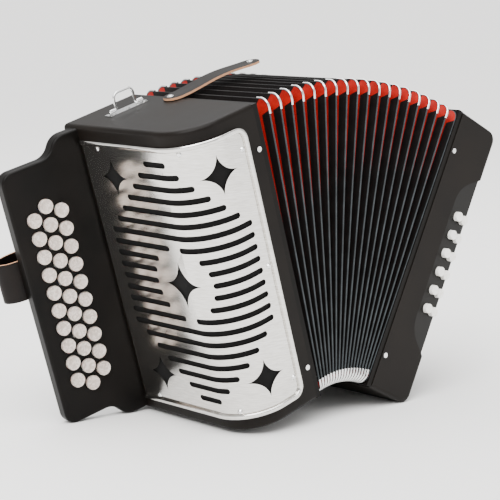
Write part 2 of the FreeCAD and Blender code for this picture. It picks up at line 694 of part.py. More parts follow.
soundboard = box("soundboard_plate",
                 ("soundboard_thickness", "casing_depth - 2 * wall", "casing_height - 2 * wall"),
                 ("soundboard_x", "wall", "wall"))
node("treble_soundboard", cut("treble_soundboard_cut", soundboard, tone_holes), "treble")

reed_blocks = []
for index, place in enumerate((34, 78, 122)):
    reed_blocks.append(box("treble_reed_block_%d" % index,
                           ("treble_width + frame_thickness + reed_reach - soundboard_x - soundboard_thickness",
                            16, "casing_height - 3.4 * frame_band"),
                           ("soundboard_x + soundboard_thickness", place, "1.7 * frame_band")))
node("treble_reed_blocks", gather("treble_reed_block_group", reed_blocks), "treble")

# --- bellows frames ------------------------------------------------------------------------

def bellows_frame(name, start, tongue_start, holes):
    """A rim outside the casing with a tongue that sits inside it."""
    rim = box(name + "_rim", ("frame_thickness", "casing_depth - 2 * rim_inset", "casing_height - 2 * rim_inset"),
              (start, "rim_inset", "rim_inset"))
    tongue = box(name + "_tongue", ("frame_tongue", "casing_depth - 2 * (wall + tongue_fit)",
                                    "casing_height - 2 * (wall + tongue_fit)"),
                 (tongue_start, "wall + tongue_fit", "wall + tongue_fit"))
    low_x = tongue_start if name.startswith("treble") else start
    opening = box(name + "_opening", ("frame_thickness + frame_tongue + 2", "casing_depth - 2 * frame_band",
                                      "casing_height - 2 * frame_band"), (low_x + " - 1", "frame_band", "frame_band"))
    inner = box(name + "_step", ("frame_tongue + 1", "casing_depth - 2 * (wall + tongue_wall)",
                                 "casing_height - 2 * (wall + tongue_wall)"),
                (tongue_start + (" - 1" if name.startswith("treble") else ""),
                 "wall + tongue_wall", "wall + tongue_wall"))
    return cut(name, fuse(name + "_block", [rim, tongue]), [opening, inner] + holes)


TONGUE_HOLE = "screw_shank + 0.05"
treble_frame = bellows_frame("treble_frame", "treble_width", "treble_width - frame_tongue",
                             pin_holes("treble_tongue_hole", TREBLE_PIN_X, TONGUE_HOLE, PIN_HEIGHTS))
node("treble_bellows_frame", treble_frame, "treble")
bass_frame = bellows_frame("bass_frame", "-frame_thickness", "0",
                           pin_holes("bass_tongue_hole", BASS_PIN_X, TONGUE_HOLE, PIN_HEIGHTS))
node("bass_bellows_frame", bass_frame, "bass")


def bellows_pins(prefix, x_text):
    """Headed pins through the casing into the tongue, front and back."""
    pins = []
    for index, height in enumerate(PIN_HEIGHTS):
        for face, head_y, shank_y in (("front", "-screw_shank", "0"),
                                      ("back", "casing_depth", "casing_depth - wall - 3.5")):
            tag = "%s_%s_%d" % (prefix, face, index)
            head = rod(tag + "_head", "screw_head", "screw_shank", (x_text, head_y, height), Y_AXIS)
            shank = rod(tag + "_shank", "screw_shank", "wall + 3.5", (x_text, shank_y, height), Y_AXIS)
            pins.append(fuse(tag, [head, shank]))
    return gather(prefix + "_group", pins)


node("treble_bellows_pins", bellows_pins("treble_pin", TREBLE_PIN_X), "treble")
node("bass_bellows_pins", bellows_pins("bass_pin", BASS_PIN_X), "bass")

# --- bellows -------------------------------------------------------------------------------

FAN = math.radians(V["fan_angle"])
FOLD_START = V["treble_width"] + V["frame_thickness"]
HINGE_FOOT = Vector(V["treble_width"] + V["hinge_reach"], 0, -V["hinge_drop"])
TURNED = Placement(HINGE_FOOT, Rotation(Y_AXIS, V["fan_angle"]))
OPENED = TURNED.multiply(Placement(-HINGE_FOOT, Rotation()))
SHUT = V["treble_width"] + V["closed_thickness"]
BASS_CORNER = OPENED.multVec(Vector(SHUT - V["frame_thickness"], 0, 0))
BASS_ROOT = (BASS_CORNER.x - FOLD_START) / math.sin(FAN)
TREBLE_ROOT = BASS_ROOT * math.cos(FAN) - BASS_CORNER.z


def bellows_root(share):
    """Distance of the lower edge from the line where the two end planes meet; share runs 0 to 1."""
    return TREBLE_ROOT + (BASS_ROOT - TREBLE_ROOT) * share


def bellows_point(share, y, height):
    """Point of the fanned bellows in the treble frame."""
    reach = bellows_root(share) + height
    angle = FAN * share
    return Vector(FOLD_START + reach * math.sin(angle), y, -TREBLE_ROOT + reach * math.cos(angle))


def bellows_loop(share, inset):
    """Closed rectangle of the bellows at one share of the fan and one inset."""
    deep, tall = V["casing_depth"] - inset, V["casing_height"] - inset
    spots = [(inset, inset), (deep, inset), (deep, tall), (inset, tall), (inset, inset)]
    return Part.makePolygon([bellows_point(share, y, height) for y, height in spots])


def fold_ring(first, last):
    """One V-shaped fold between two shares of the fan."""
    ridge, valley = V["ridge_inset"], V["ridge_inset"] + V["fold_depth"]
    middle = (first + last) / 2
    skins = []
    for extra in (0, V["fold_wall"]):
        loops = [bellows_loop(share, inset + extra)
                 for share, inset in ((first, ridge), (middle, valley), (last, ridge))]
        skins.append(Part.makeLoft(loops, True, True))
    return skins[0].cut(skins[1])


def metal_corner(share, y_side, z_side):
    """An L of sheet metal over one corner of a ridge."""
    inset, leg, metal, wide = V["ridge_inset"], V["corner_leg"], V["corner_metal"], V["ridge_width"] / 2
    outer = Part.makeBox(2 * wide, leg + metal, leg + metal, Vector(-wide, -metal, -metal))
    inner = Part.makeBox(4 * wide, leg + metal, leg + metal, Vector(-2 * wide, 0, 0))
    shape = outer.cut(inner)
    if y_side:
        shape = shape.mirror(Vector(), Y_AXIS)
    if z_side:
        shape = shape.mirror(Vector(), Z_AXIS)
    y = V["casing_depth"] - inset if y_side else inset
    height = V["casing_height"] - inset if z_side else inset
    shape.translate(Vector(0, y, bellows_root(share) + height))
    shape.rotate(Vector(), Y_AXIS, V["fan_angle"] * share)
    shape.translate(Vector(FOLD_START, 0, -TREBLE_ROOT))
    return shape


fold_count = int(V["ridge_count"]) + 1
folds = [fold_ring(number / fold_count, (number + 1) / fold_count) for number in range(fold_count)]
corners = [metal_corner(number / fold_count, y_side, z_side)
           for number in range(1, fold_count) for y_side in (0, 1) for z_side in (0, 1)]
node("bellows_folds", solid("bellows_fold_group", Part.makeCompound(folds)), "treble")
node("bellows_corners", solid("bellows_corner_group", Part.makeCompound(corners)), "treble")

# --- bass casing ---------------------------------------------------------------------------

bass_outside = bass_block("bass_outside", "0", "0", "0", "casing_depth")
round_edges(bass_outside, "bass_rounding", bass_edge)
bass_inside = bass_block("bass_inside", "wall", "-1", "wall", "casing_depth - 2 * wall")

SCOOP_TOP = MID_HEIGHT + V["scoop_high"] / 2
SCOOP_LOW = MID_HEIGHT - V["scoop_high"] / 2
SCOOP_SHOULDER = 39.0


def scoop_prism(name, low_y, high_y):
    """Button board outline: straight along the front edge, S-curves to the end face."""
    start, edge = V["scoop_start"], V["bass_width"] + 2 * OVER
    middle = (start + edge) / 2
    outline = [Part.makeLine(Vector(start, 0, SCOOP_LOW + SCOOP_SHOULDER),
                             Vector(start, 0, SCOOP_TOP - SCOOP_SHOULDER))]
    for end, way in ((SCOOP_TOP, 1), (SCOOP_LOW, -1)):
        foot = end - way * SCOOP_SHOULDER
        curve = Part.BezierCurve()
        curve.setPoles([Vector(start, 0, foot), Vector(start, 0, foot + way * 20),
                        Vector(middle - 4, 0, end - way * 14), Vector(edge, 0, end)])
        outline.append(curve.toShape())
    outline.append(Part.makeLine(Vector(edge, 0, SCOOP_TOP), Vector(edge, 0, SCOOP_LOW)))
    face = Part.Face(Part.Wire(Part.__sortEdges__(outline)))
    face.translate(Vector(0, low_y, 0))
    return face.extrude(Y_AXIS * (high_y - low_y))


def floor_depth(x):
    """Depth of the slanted button board below the casing's front."""
    return (x - V["scoop_start"]) * V["scoop_drop"] / (V["bass_width"] - V["scoop_start"])


scoop_opening = solid("scoop_opening", scoop_prism("scoop", -OVER, V["board_back"]))
bass_casing = cut("bass_casing_cut", bass_outside,
                  [bass_inside, scoop_opening,
                   rod("air_hole", "stem_radius + 0.35", "wall + 2", ("bass_width - wall - 1", "casing_depth * 0.2",
                                                                  "casing_height * 0.9"), X_AXIS)]
                  + pin_holes("bass_pin_hole", BASS_PIN_X, PIN_HOLE, PIN_HEIGHTS))
node("bass_casing", bass_casing, "bass")

edge_x = V["bass_width"] + 4 * OVER
wedge = Part.Face(Part.makePolygon([Vector(V["scoop_start"] - 5, floor_depth(V["scoop_start"] - 5), 0),
                                    Vector(edge_x, floor_depth(edge_x), 0), Vector(edge_x, -9, 0),
                                    Vector(V["scoop_start"] - 5, -9, 0),
                                    Vector(V["scoop_start"] - 5, floor_depth(V["scoop_start"] - 5), 0)]))
wedge = wedge.extrude(Z_AXIS * V["casing_height"])
button_board = scoop_prism("button_board", 0, V["board_back"]).cut(wedge)
button_board = button_board.common(Part.makeBox(V["bass_width"], V["casing_depth"], V["casing_height"]))
button_board = solid("button_board_blank", button_board)

BASS_COLUMNS = (("front", "bass_column_front"), ("rear", "bass_column_rear"))
board_bores = []
CAP_DEPTH = 3.6
for place in range(6):
    steps = place - 2.5
    height = "casing_height / 2 + %s * bass_key_pitch" % steps
    for title, column in BASS_COLUMNS:
        deep = floor_depth(V[column])
        tag = "bass_bore_%s_%d" % (title, place)
        board_bores.append(rod(tag, "bass_key_radius + bass_key_clearance",
                               "1 + %s + bass_key_travel + 0.6" % (deep + CAP_DEPTH), (column, -1, height), Y_AXIS))
        board_bores.append(rod(tag + "_stem", "stem_radius + 0.35", "board_back + 2",
                               (column, -1, height), Y_AXIS))
node("bass_button_board", cut("bass_button_board_cut", button_board, board_bores), "bass")

for place in range(6):
    steps = place - 2.5
    height = "casing_height / 2 + %s * bass_key_pitch" % steps
    pieces = []
    for title, column in BASS_COLUMNS:
        deep = floor_depth(V[column])
        tag = "bass_key_%s_%d" % (title, place)
        cap = rod(tag + "_cap", "bass_key_radius", "bass_key_proud + %s" % CAP_DEPTH,
                  (column, "%s - bass_key_proud" % deep, height), Y_AXIS)
        stem = rod(tag + "_stem", "stem_radius", "board_back + 6 - %s" % (deep + CAP_DEPTH),
                   (column, deep + CAP_DEPTH, height), Y_AXIS)
        collar = rod(tag + "_collar", "stem_radius + 1.8", 2, (column, "board_back + 1", height), Y_AXIS)
        pieces += [fuse(tag, [cap, stem, collar])]
    node("bass_button_pair_%d" % (place + 1), gather("bass_pair_%d" % place, pieces), "bass")

bass_plate = box("bass_plate", ("soundboard_thickness", "casing_depth - 2 * wall - board_back - 12",
                                "casing_height - 2 * wall"),
                 ("frame_tongue + plate_gap", "wall + board_back + 12", "wall"))
bass_tone_holes = []
for column in range(3):
    for place in range(6):
        bass_tone_holes.append(box("bass_tone_hole_%d_%d" % (column, place), ("soundboard_thickness + 2", 18, 8),
                                   ("frame_tongue + plate_gap - 1", "board_back + %d" % (34 + 36 * column),
                                    "casing_height / 2 + %s * 34 - 4" % (place - 2.5))))
node("bass_soundboard", cut("bass_soundboard_cut", bass_plate, bass_tone_holes), "bass")

bass_reeds = []
for index in range(3):
    bass_reeds.append(box("bass_reed_block_%d" % index,
                          ("frame_tongue + plate_gap + reed_reach", 16, "casing_height - 3.4 * frame_band"),
                          ("-reed_reach", "board_back + %d" % (35 + 36 * index), "1.7 * frame_band")))
node("bass_reed_blocks", gather("bass_reed_group", bass_reeds), "bass")

air_cap = rod("air_cap", 8, 4, ("bass_width + 4", "casing_depth * 0.2", "casing_height * 0.9"), X_AXIS)
air_stem = rod("air_stem", "stem_radius", "wall + 10", ("bass_width - wall - 6", "casing_depth * 0.2",
                                                      "casing_height * 0.9"), X_AXIS)
air_pad = rod("air_pad", 7, 2, ("bass_width - wall - 6", "casing_depth * 0.2", "casing_height * 0.9"), X_AXIS)
node("air_button", gather("air_parts", [fuse("air_fuse", [air_cap, air_stem, air_pad])]), "bass")


BAND_SPOTS = 24


def band(path, wide, thick, normal, outward, least):
    """A leather band through a path of points, kept at least a distance out from what it lies on."""
    curve = Part.BSplineCurve()
    curve.interpolate(path)
    spots = [spot + outward * max(0, least - spot.dot(outward))
             for spot in curve.toShape().discretize(BAND_SPOTS)]
    sides = []
    for index, spot in enumerate(spots):
        before, after = spots[max(0, index - 1)], spots[min(len(spots) - 1, index + 1)]
        out = normal.cross(after - before)
        out.normalize()
        sides.append(spot + out * thick)
    wire = Part.makePolygon(spots + sides[::-1] + [spots[0]])
    return Part.Face(wire).extrude(normal * wide)


STRAP_GAP = 0.4
strap_y = V["casing_depth"] * 0.38
strap_x = V["bass_width"] + STRAP_GAP
strap_low = V["strap_end"]
strap_high = V["casing_height"] - V["strap_end"]
tab = V["strap_tab"]
loop = strap_high - strap_low - 2 * tab
hand_path = [Vector(strap_x, strap_y, strap_low), Vector(strap_x, strap_y, strap_low + tab)]
hand_path += [Vector(strap_x + V["strap_bulge"] * math.sin(math.pi * part) ** 0.8, strap_y,
                     strap_low + tab + loop * part)
              for part in (0.12, 0.3, 0.5, 0.7, 0.88)]
hand_path += [Vector(strap_x, strap_y, strap_high - tab), Vector(strap_x, strap_y, strap_high)]
hand_strap = band(hand_path, V["hand_strap_width"], V["strap_leather"], Y_AXIS, X_AXIS, strap_x)
node("hand_strap", solid("hand_strap_shape", hand_strap), "bass")

# Thumb strap: x outwards from the board's outer edge, y back from the board, from one sewn end
# round the loop to the other.
THUMB_PATH = ((-58, 2.8), (-46, 7), (-34, 18), (-14, 27), (6, 25), (15, 14), (8, 4), (-8, 0.6), (-22, 0.2))
thumb_y = V["board_thickness"] + STRAP_GAP
thumb_z = MID_HEIGHT + 3
thumb_path = [Vector(-V["board_reach"] - out, thumb_y + rear, thumb_z) for out, rear in THUMB_PATH]
thumb_strap = band(thumb_path, V["thumb_strap_width"], V["strap_leather"], Z_AXIS, Y_AXIS, thumb_y)
node("thumb_strap", solid("thumb_strap_shape", thumb_strap), "board")

# --- fittings on top of the treble casing ------------------------------------------------------

TOP = V["casing_height"]
BAIL_X, BAIL_Y = 33.0, 139.0
PIVOT = TOP + 3.4
span, rise, wire_radius = V["bail_span"], V["bail_height"], V["bail_wire"]
plate = Part.makeBox(span + 14, 11, 1.4, Vector(BAIL_X - 7, BAIL_Y - 5.5, TOP))
knuckles = []
for start in (BAIL_X - 4, BAIL_X + span - 2):
    knuckle = Part.makeCylinder(wire_radius + 1.0, 6, Vector(start, BAIL_Y, PIVOT), X_AXIS)
    foot = Part.makeBox(6, 2.4, PIVOT - TOP, Vector(start, BAIL_Y - 1.2, TOP))
    bore = Part.makeCylinder(wire_radius + 0.08, 8, Vector(start - 1, BAIL_Y, PIVOT), X_AXIS)
    knuckles.append(knuckle.fuse(foot).cut(bore))
bracket = plate.fuse([piece for piece in knuckles])
bracket = bracket.cut([Part.makeCylinder(wire_radius + 0.08, span + 20,
                                         Vector(BAIL_X - 10, BAIL_Y, PIVOT), X_AXIS)])
bracket_screws = []
for spot in (BAIL_X - 5, BAIL_X + span / 2, BAIL_X + span + 5):
    bracket_screws.append(Part.makeCylinder(1.9, 0.9, Vector(spot, BAIL_Y - 3.2, TOP + 1.4), Z_AXIS))
node("strap_bracket", solid("strap_bracket_shape", Part.makeCompound([bracket] + bracket_screws)), "treble")

turn = 6.0
left, right, crown = BAIL_X + 4, BAIL_X + span - 4, PIVOT + rise
inward = turn * (1 - math.sqrt(0.5))
bail_edges = [
    Part.makeLine(Vector(BAIL_X - 5, BAIL_Y, PIVOT), Vector(left - 2.5, BAIL_Y, PIVOT)),
    Part.Arc(Vector(left - 2.5, BAIL_Y, PIVOT), Vector(left - 2.5 * (1 - math.sqrt(0.5)), BAIL_Y,
             PIVOT + 2.5 * (1 - math.sqrt(0.5))), Vector(left, BAIL_Y, PIVOT + 2.5)).toShape(),
    Part.makeLine(Vector(left, BAIL_Y, PIVOT + 2.5), Vector(left, BAIL_Y, crown - turn)),
    Part.Arc(Vector(left, BAIL_Y, crown - turn), Vector(left + inward, BAIL_Y, crown - inward),
             Vector(left + turn, BAIL_Y, crown)).toShape(),
    Part.makeLine(Vector(left + turn, BAIL_Y, crown), Vector(right - turn, BAIL_Y, crown)),
    Part.Arc(Vector(right - turn, BAIL_Y, crown), Vector(right - inward, BAIL_Y, crown - inward),
             Vector(right, BAIL_Y, crown - turn)).toShape(),
    Part.makeLine(Vector(right, BAIL_Y, crown - turn), Vector(right, BAIL_Y, PIVOT + 2.5)),
    Part.Arc(Vector(right, BAIL_Y, PIVOT + 2.5), Vector(right + 2.5 * (1 - math.sqrt(0.5)), BAIL_Y,
             PIVOT + 2.5 * (1 - math.sqrt(0.5))), Vector(right + 2.5, BAIL_Y, PIVOT)).toShape(),
    Part.makeLine(Vector(right + 2.5, BAIL_Y, PIVOT), Vector(BAIL_X + span + 5, BAIL_Y, PIVOT)),
]
bail_path = Part.Wire(bail_edges)
ring = Part.Wire(Part.makeCircle(wire_radius, Vector(BAIL_X - 5, BAIL_Y, PIVOT), X_AXIS))
bail = bail_path.makePipeShell([ring], True, False)
node("strap_bail", solid("strap_bail_shape", bail), "treble")

LIFT = 0.6
STUD_RADIUS = 2.6
STUD_PROUD = 1.4
tie = Part.makeBox(V["tie_length"], V["tie_width"], V["strap_leather"],
                   Vector(V["tie_start"], V["tie_front"], TOP + LIFT))
tie_ends = [edge for edge in tie.Edges if edge.BoundBox.ZLength > OVER and edge.BoundBox.XLength < OVER]
tie = tie.makeFillet(V["tie_width"] / 2 - 0.1, tie_ends)
tie_middle = V["tie_front"] + V["tie_width"] / 2
tie_face = V["strap_leather"] + LIFT
casing_stud = Part.makeCylinder(STUD_RADIUS, tie_face + STUD_PROUD,
                                Vector(V["tie_start"] + 4, tie_middle, TOP))
end_stud = Part.makeCylinder(STUD_RADIUS, STUD_PROUD,
                             Vector(V["tie_start"] + V["tie_length"] - 8, tie_middle, TOP + tie_face))
bellows_strap = tie.fuse(casing_stud).fuse(end_stud)
node("bellows_strap", solid("bellows_strap_shape", bellows_strap), "treble")

# --- standing pose -------------------------------------------------------------------------

doc.recompute()


def frame_places(lean):
    """Placements of the treble, board and bass frames for one lean of the treble end."""
    treble = Placement(Vector(), Rotation(Y_AXIS, -lean))
    board_in_treble = Placement(Vector(0, V["board_front"], 0), Rotation(Z_AXIS, -V["board_sweep"]))
    board_place = treble.multiply(board_in_treble)
    bass = treble.multiply(OPENED).multiply(Placement(Vector(SHUT, 0, 0), Rotation()))
    return {"treble": treble, "board": board_place, "bass": bass}


def lowest(shape, place):
    """Height of the lowest point of a shape at a placement."""
    moved = shape.copy()
    moved.Placement = place
    return moved.optimalBoundingBox(False, False).ZMin


def tilt(lean):
    """How much higher the bass end's lowest point is than the treble end's."""
    places = frame_places(lean)
    treble_low = min(lowest(casing_outside.Shape, places["treble"]), lowest(fingerboard.Shape, places["board"]))
    return lowest(bass_outside.Shape, places["bass"]) - treble_low


least, most = 5.0, V["fan_angle"] - 5.0
while most - least > 1e-6:
    lean = (least + most) / 2
    if tilt(lean) > 0:
        most = lean
    else:
        least = lean
places = frame_places(lean)
HINGE = places["treble"].multVec(HINGE_FOOT)

for name, obj, side in NODES:
    obj.Placement = places[side]
doc.recompute()
whole = Part.makeCompound([obj.Shape for name, obj, side in NODES]).optimalBoundingBox(False, False)
shift = Vector(-(whole.XMin + whole.XMax) / 2, -(whole.YMin + whole.YMax) / 2, -whole.ZMin)
for name, obj, side in NODES:
    obj.Placement = Placement(shift, Rotation()).multiply(places[side])
HINGE = HINGE + shift
doc.recompute()

# --- checks and files ----------------------------------------------------------------------

for item in doc.Objects:
    if "Invalid" in item.State or "Error" in item.State:
        raise RuntimeError("failed feature: " + item.Name)
for name, obj, side in NODES:
    if obj.Shape.isNull() or not obj.Shape.isValid() or not obj.Shape.Solids:
        raise RuntimeError("bad shape: " + name)
os.makedirs("parts", exist_ok=True)
for name, obj, side in NODES:
    obj.Shape.exportStep("parts/" + name + ".step")
print("nodes", len(NODES), "lean", round(lean, 3), "hinge", HINGE, "shift", shift)
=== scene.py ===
import json
import math
from types import SimpleNamespace

import bpy
from mathutils import Matrix, Vector

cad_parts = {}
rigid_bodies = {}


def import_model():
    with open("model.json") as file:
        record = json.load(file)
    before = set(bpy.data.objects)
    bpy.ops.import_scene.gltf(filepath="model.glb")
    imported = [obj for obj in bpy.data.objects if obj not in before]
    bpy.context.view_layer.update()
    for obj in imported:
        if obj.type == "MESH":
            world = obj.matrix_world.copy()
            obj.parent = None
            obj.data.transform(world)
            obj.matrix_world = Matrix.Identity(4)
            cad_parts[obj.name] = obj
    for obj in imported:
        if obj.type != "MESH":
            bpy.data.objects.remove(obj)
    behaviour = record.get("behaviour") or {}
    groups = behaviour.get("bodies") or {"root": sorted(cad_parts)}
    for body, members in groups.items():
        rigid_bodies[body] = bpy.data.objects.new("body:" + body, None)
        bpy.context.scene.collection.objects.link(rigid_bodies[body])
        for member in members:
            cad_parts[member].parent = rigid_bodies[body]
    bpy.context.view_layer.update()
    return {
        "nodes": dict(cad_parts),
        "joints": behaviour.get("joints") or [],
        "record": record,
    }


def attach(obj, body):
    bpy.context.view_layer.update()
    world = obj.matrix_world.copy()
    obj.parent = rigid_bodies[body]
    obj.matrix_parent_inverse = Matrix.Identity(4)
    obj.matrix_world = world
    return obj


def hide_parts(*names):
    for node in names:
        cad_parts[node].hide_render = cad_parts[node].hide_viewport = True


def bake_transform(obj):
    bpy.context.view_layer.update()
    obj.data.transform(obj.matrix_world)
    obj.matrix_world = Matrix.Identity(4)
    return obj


bl_info = {
    "name": "Button accordion",
    "version": (1, 0, 0),
    "blender": (4, 5, 0),
    "location": "View3D > Sidebar > Accordion",
    "description": "Builds the visible pieces of a three-row button accordion around its frame",
    "category": "Object",
}

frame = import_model()

# Lengths are millimetres in the instrument's own frames, and one matrix brings each to the row frame.
MM = 0.001
NODES = frame["nodes"]
JOINTS = {joint["name"]: joint for joint in frame["joints"]}
MOUNTS = {mount["name"]: mount for mount in frame["record"]["mounts"]}

CASING_HIGH = 300.0
CASING_DEEP = 180.0
TREBLE_WIDE = 85.0
BASS_WIDE = 61.0
FRAME_THICK = 6.0
END_ROUND = 42.0
BOARD_FRONT = 157.0
BOARD_SWEEP = math.radians(7.7)
BOARD_REACH = 89.0
BOARD_THICK = 14.0
TREBLE_FOOT = 55.0
BASS_FOOT = 30.0

# The wrapped grille: its ends, its margins, its lip, and the length of its front and of its curve.
GRILLE_FRONT = 69.0
GRILLE_REAR = 153.0
GRILLE_MARGIN = 14.0
GRILLE_BORDER = 13.0
GRILLE_LIP = 3.2
FRONT_RUN = GRILLE_FRONT - END_ROUND
ROUND_RUN = END_ROUND * math.pi / 2
CURVE_STRIPS = 30

# A key's cap lies past CAP_FROM in the board's frame, its pallet past PALLET_FROM in the treble's.
CAP_FROM = 20.0
CAP_SINK = 0.5
PALLET_FROM = 64.6

# The bellows' folds, and the corners of their outline as front-to-back and height.
FOLDS = 19
RIDGE_INSET = 2.0
GUSSET_RUN = 1.5
TOP_SIDE = ("side", 1)
CORNER_CENTRES = ((0, 0), (0, 1), (1, 1), (1, 0))

# The camera, in metres.
CAMERA_PLACE = Vector((-1.12148, -1.22204, 0.41958))
CAMERA_AIM = Vector((-0.0011, 0.0022, 0.1582))
CAMERA_ROLL = math.radians(-0.36)
CAMERA_LENS = 120.7
CAMERA_SENSOR = 36.0


def end_frame(x_axis, mount, along):
    """Matrix from millimetres in one end's frame to metres in the row frame."""
    x_axis = Vector(x_axis).normalized()
    y_axis = Vector((0, 1, 0))
    turn = Matrix((x_axis, y_axis, x_axis.cross(y_axis))).transposed().to_4x4()
    foot = Vector(MOUNTS[mount]["pos_m"]) - x_axis * along * MM - y_axis * CASING_DEEP / 2 * MM
    return Matrix.Translation(foot) @ turn @ Matrix.Scale(MM, 4)


TREBLE = end_frame(JOINTS["bail_swing"]["axis"], "treble_foot", TREBLE_FOOT)
BASS = end_frame(-Vector(JOINTS["air_button_press"]["axis"]), "bass_foot", BASS_FOOT)
BOARD = TREBLE @ Matrix.Translation((0, BOARD_FRONT, 0)) @ Matrix.Rotation(-BOARD_SWEEP, 4, "Z")
TILT = math.atan2(JOINTS["bail_swing"]["axis"][2], JOINTS["bail_swing"]["axis"][0])

# --- colours and materials ---------------------------------------------------------------------


def linear(code):
    """An sRGB hex colour as linear red, green and blue."""
    parts = [int(code[i:i + 2], 16) / 255 for i in (1, 3, 5)]
    return [part / 12.92 if part <= 0.04045 else ((part + 0.055) / 1.055) ** 2.4 for part in parts]


def add(tree, kind, settings=None, sockets=None):
    """Add a node with its settings; a socket takes a value or a link."""
    made = tree.nodes.new(kind)
    for name, value in (settings or {}).items():
        setattr(made, name, value)
    for name, value in (sockets or {}).items():
        if isinstance(value, bpy.types.NodeSocket):
            tree.links.new(value, made.inputs[name])
        else:
            made.inputs[name].default_value = value
    return made


def material(name, constants):
    """A new material's tree and shader, with the constants set on the shader's own sockets."""
    made = bpy.data.materials.new(name)
    made.use_nodes = True
    tree = made.node_tree
    shader = tree.nodes["Principled BSDF"]
    for socket, value in constants.items():
        shader.inputs[socket].default_value = value
    return made, tree, shader


def object_place(tree, scale=(1.0, 1.0, 1.0), turn=0.0):
    """Object coordinates, stretched and turned about the row's front-to-back axis."""
    place = add(tree, "ShaderNodeTexCoord")
    return add(tree, "ShaderNodeMapping", sockets={
        "Vector": place.outputs["Object"], "Scale": scale, "Rotation": (0.0, turn, 0.0)})


def dress(tree, shader, colours, rough, relief, spread=(0.3, 0.7)):
    """Drive the colour, roughness and relief, each by a field.

    The field comes first: then two sRGB colours, two roughnesses, or a strength and a depth in mm.
    """
    field, first, second = colours
    share = add(tree, "ShaderNodeMapRange", sockets={
        "Value": field, "From Min": spread[0], "From Max": spread[1]})
    mix = add(tree, "ShaderNodeMix", {"data_type": "RGBA"}, {"Factor": share.outputs["Result"]})
    shades = {"A": (*linear(first), 1), "B": (*linear(second), 1)}
    for socket in mix.inputs:
        if socket.type == "RGBA":
            socket.default_value = shades[socket.name]
    blended = [socket for socket in mix.outputs if socket.type == "RGBA"][0]
    tree.links.new(blended, shader.inputs["Base Color"])
    field, low, high = rough
    share = add(tree, "ShaderNodeMapRange", sockets={"Value": field, "To Min": low, "To Max": high})
    tree.links.new(share.outputs["Result"], shader.inputs["Roughness"])
    field, strength, depth_mm = relief
    height = add(tree, "ShaderNodeBump", sockets={
        "Height": field, "Strength": strength, "Distance": depth_mm * MM})
    tree.links.new(height.outputs["Normal"], shader.inputs["Normal"])


def per_metre(size_mm):
    """Texture scale for a feature of a size in millimetres."""
    return 1000.0 / size_mm


def cloth(name, dark, light, thread_mm, roughness):
    """Book cloth: two crossing waves of threads, drawn coarse enough to show."""
    made, tree, shader = material(name, {
        "Sheen Weight": 0.03, "Sheen Roughness": 0.5, "Specular IOR Level": 0.15})
    place = object_place(tree, (1.0, 1.0, 1.0), TILT)
    warp = add(tree, "ShaderNodeTexWave", {"bands_direction": "Z"}, {
        "Vector": place.outputs["Vector"], "Scale": per_metre(thread_mm) / 20, "Distortion": 0.6})
    weft = add(tree, "ShaderNodeTexWave", {"bands_direction": "Y"}, {
        "Vector": place.outputs["Vector"], "Scale": per_metre(thread_mm) / 20, "Distortion": 0.6})
    weave = add(tree, "ShaderNodeMath", {"operation": "MULTIPLY"}, {
        0: warp.outputs["Fac"], 1: weft.outputs["Fac"]})
    wear = add(tree, "ShaderNodeTexNoise", sockets={
        "Vector": place.outputs["Vector"], "Scale": per_metre(12.0), "Detail": 5.0})
    dress(tree, shader, (wear.outputs["Fac"], dark, light),
          (wear.outputs["Fac"], roughness - 0.08, roughness + 0.08),
          (weave.outputs["Value"], 0.3, 0.15))
    return made


def strap_leather():
    """Oiled cowhide, dyed dark: pebbled grain of about a millimetre, duller where it bends."""
    made, tree, shader = material("strap_leather", {"Coat Weight": 0.03, "Specular IOR Level": 0.12})
    place = object_place(tree)
    pebble = add(tree, "ShaderNodeTexVoronoi", sockets={
        "Vector": place.outputs["Vector"], "Scale": per_metre(1.3), "Randomness": 1.0})
    wear = add(tree, "ShaderNodeTexNoise", sockets={
        "Vector": place.outputs["Vector"], "Scale": per_metre(18.0), "Detail": 6.0})
    dress(tree, shader, (wear.outputs["Fac"], "#090605", "#140e0b"),
          (wear.outputs["Fac"], 0.38, 0.6),
          (pebble.outputs["Distance"], 0.25, 0.2))
    return made


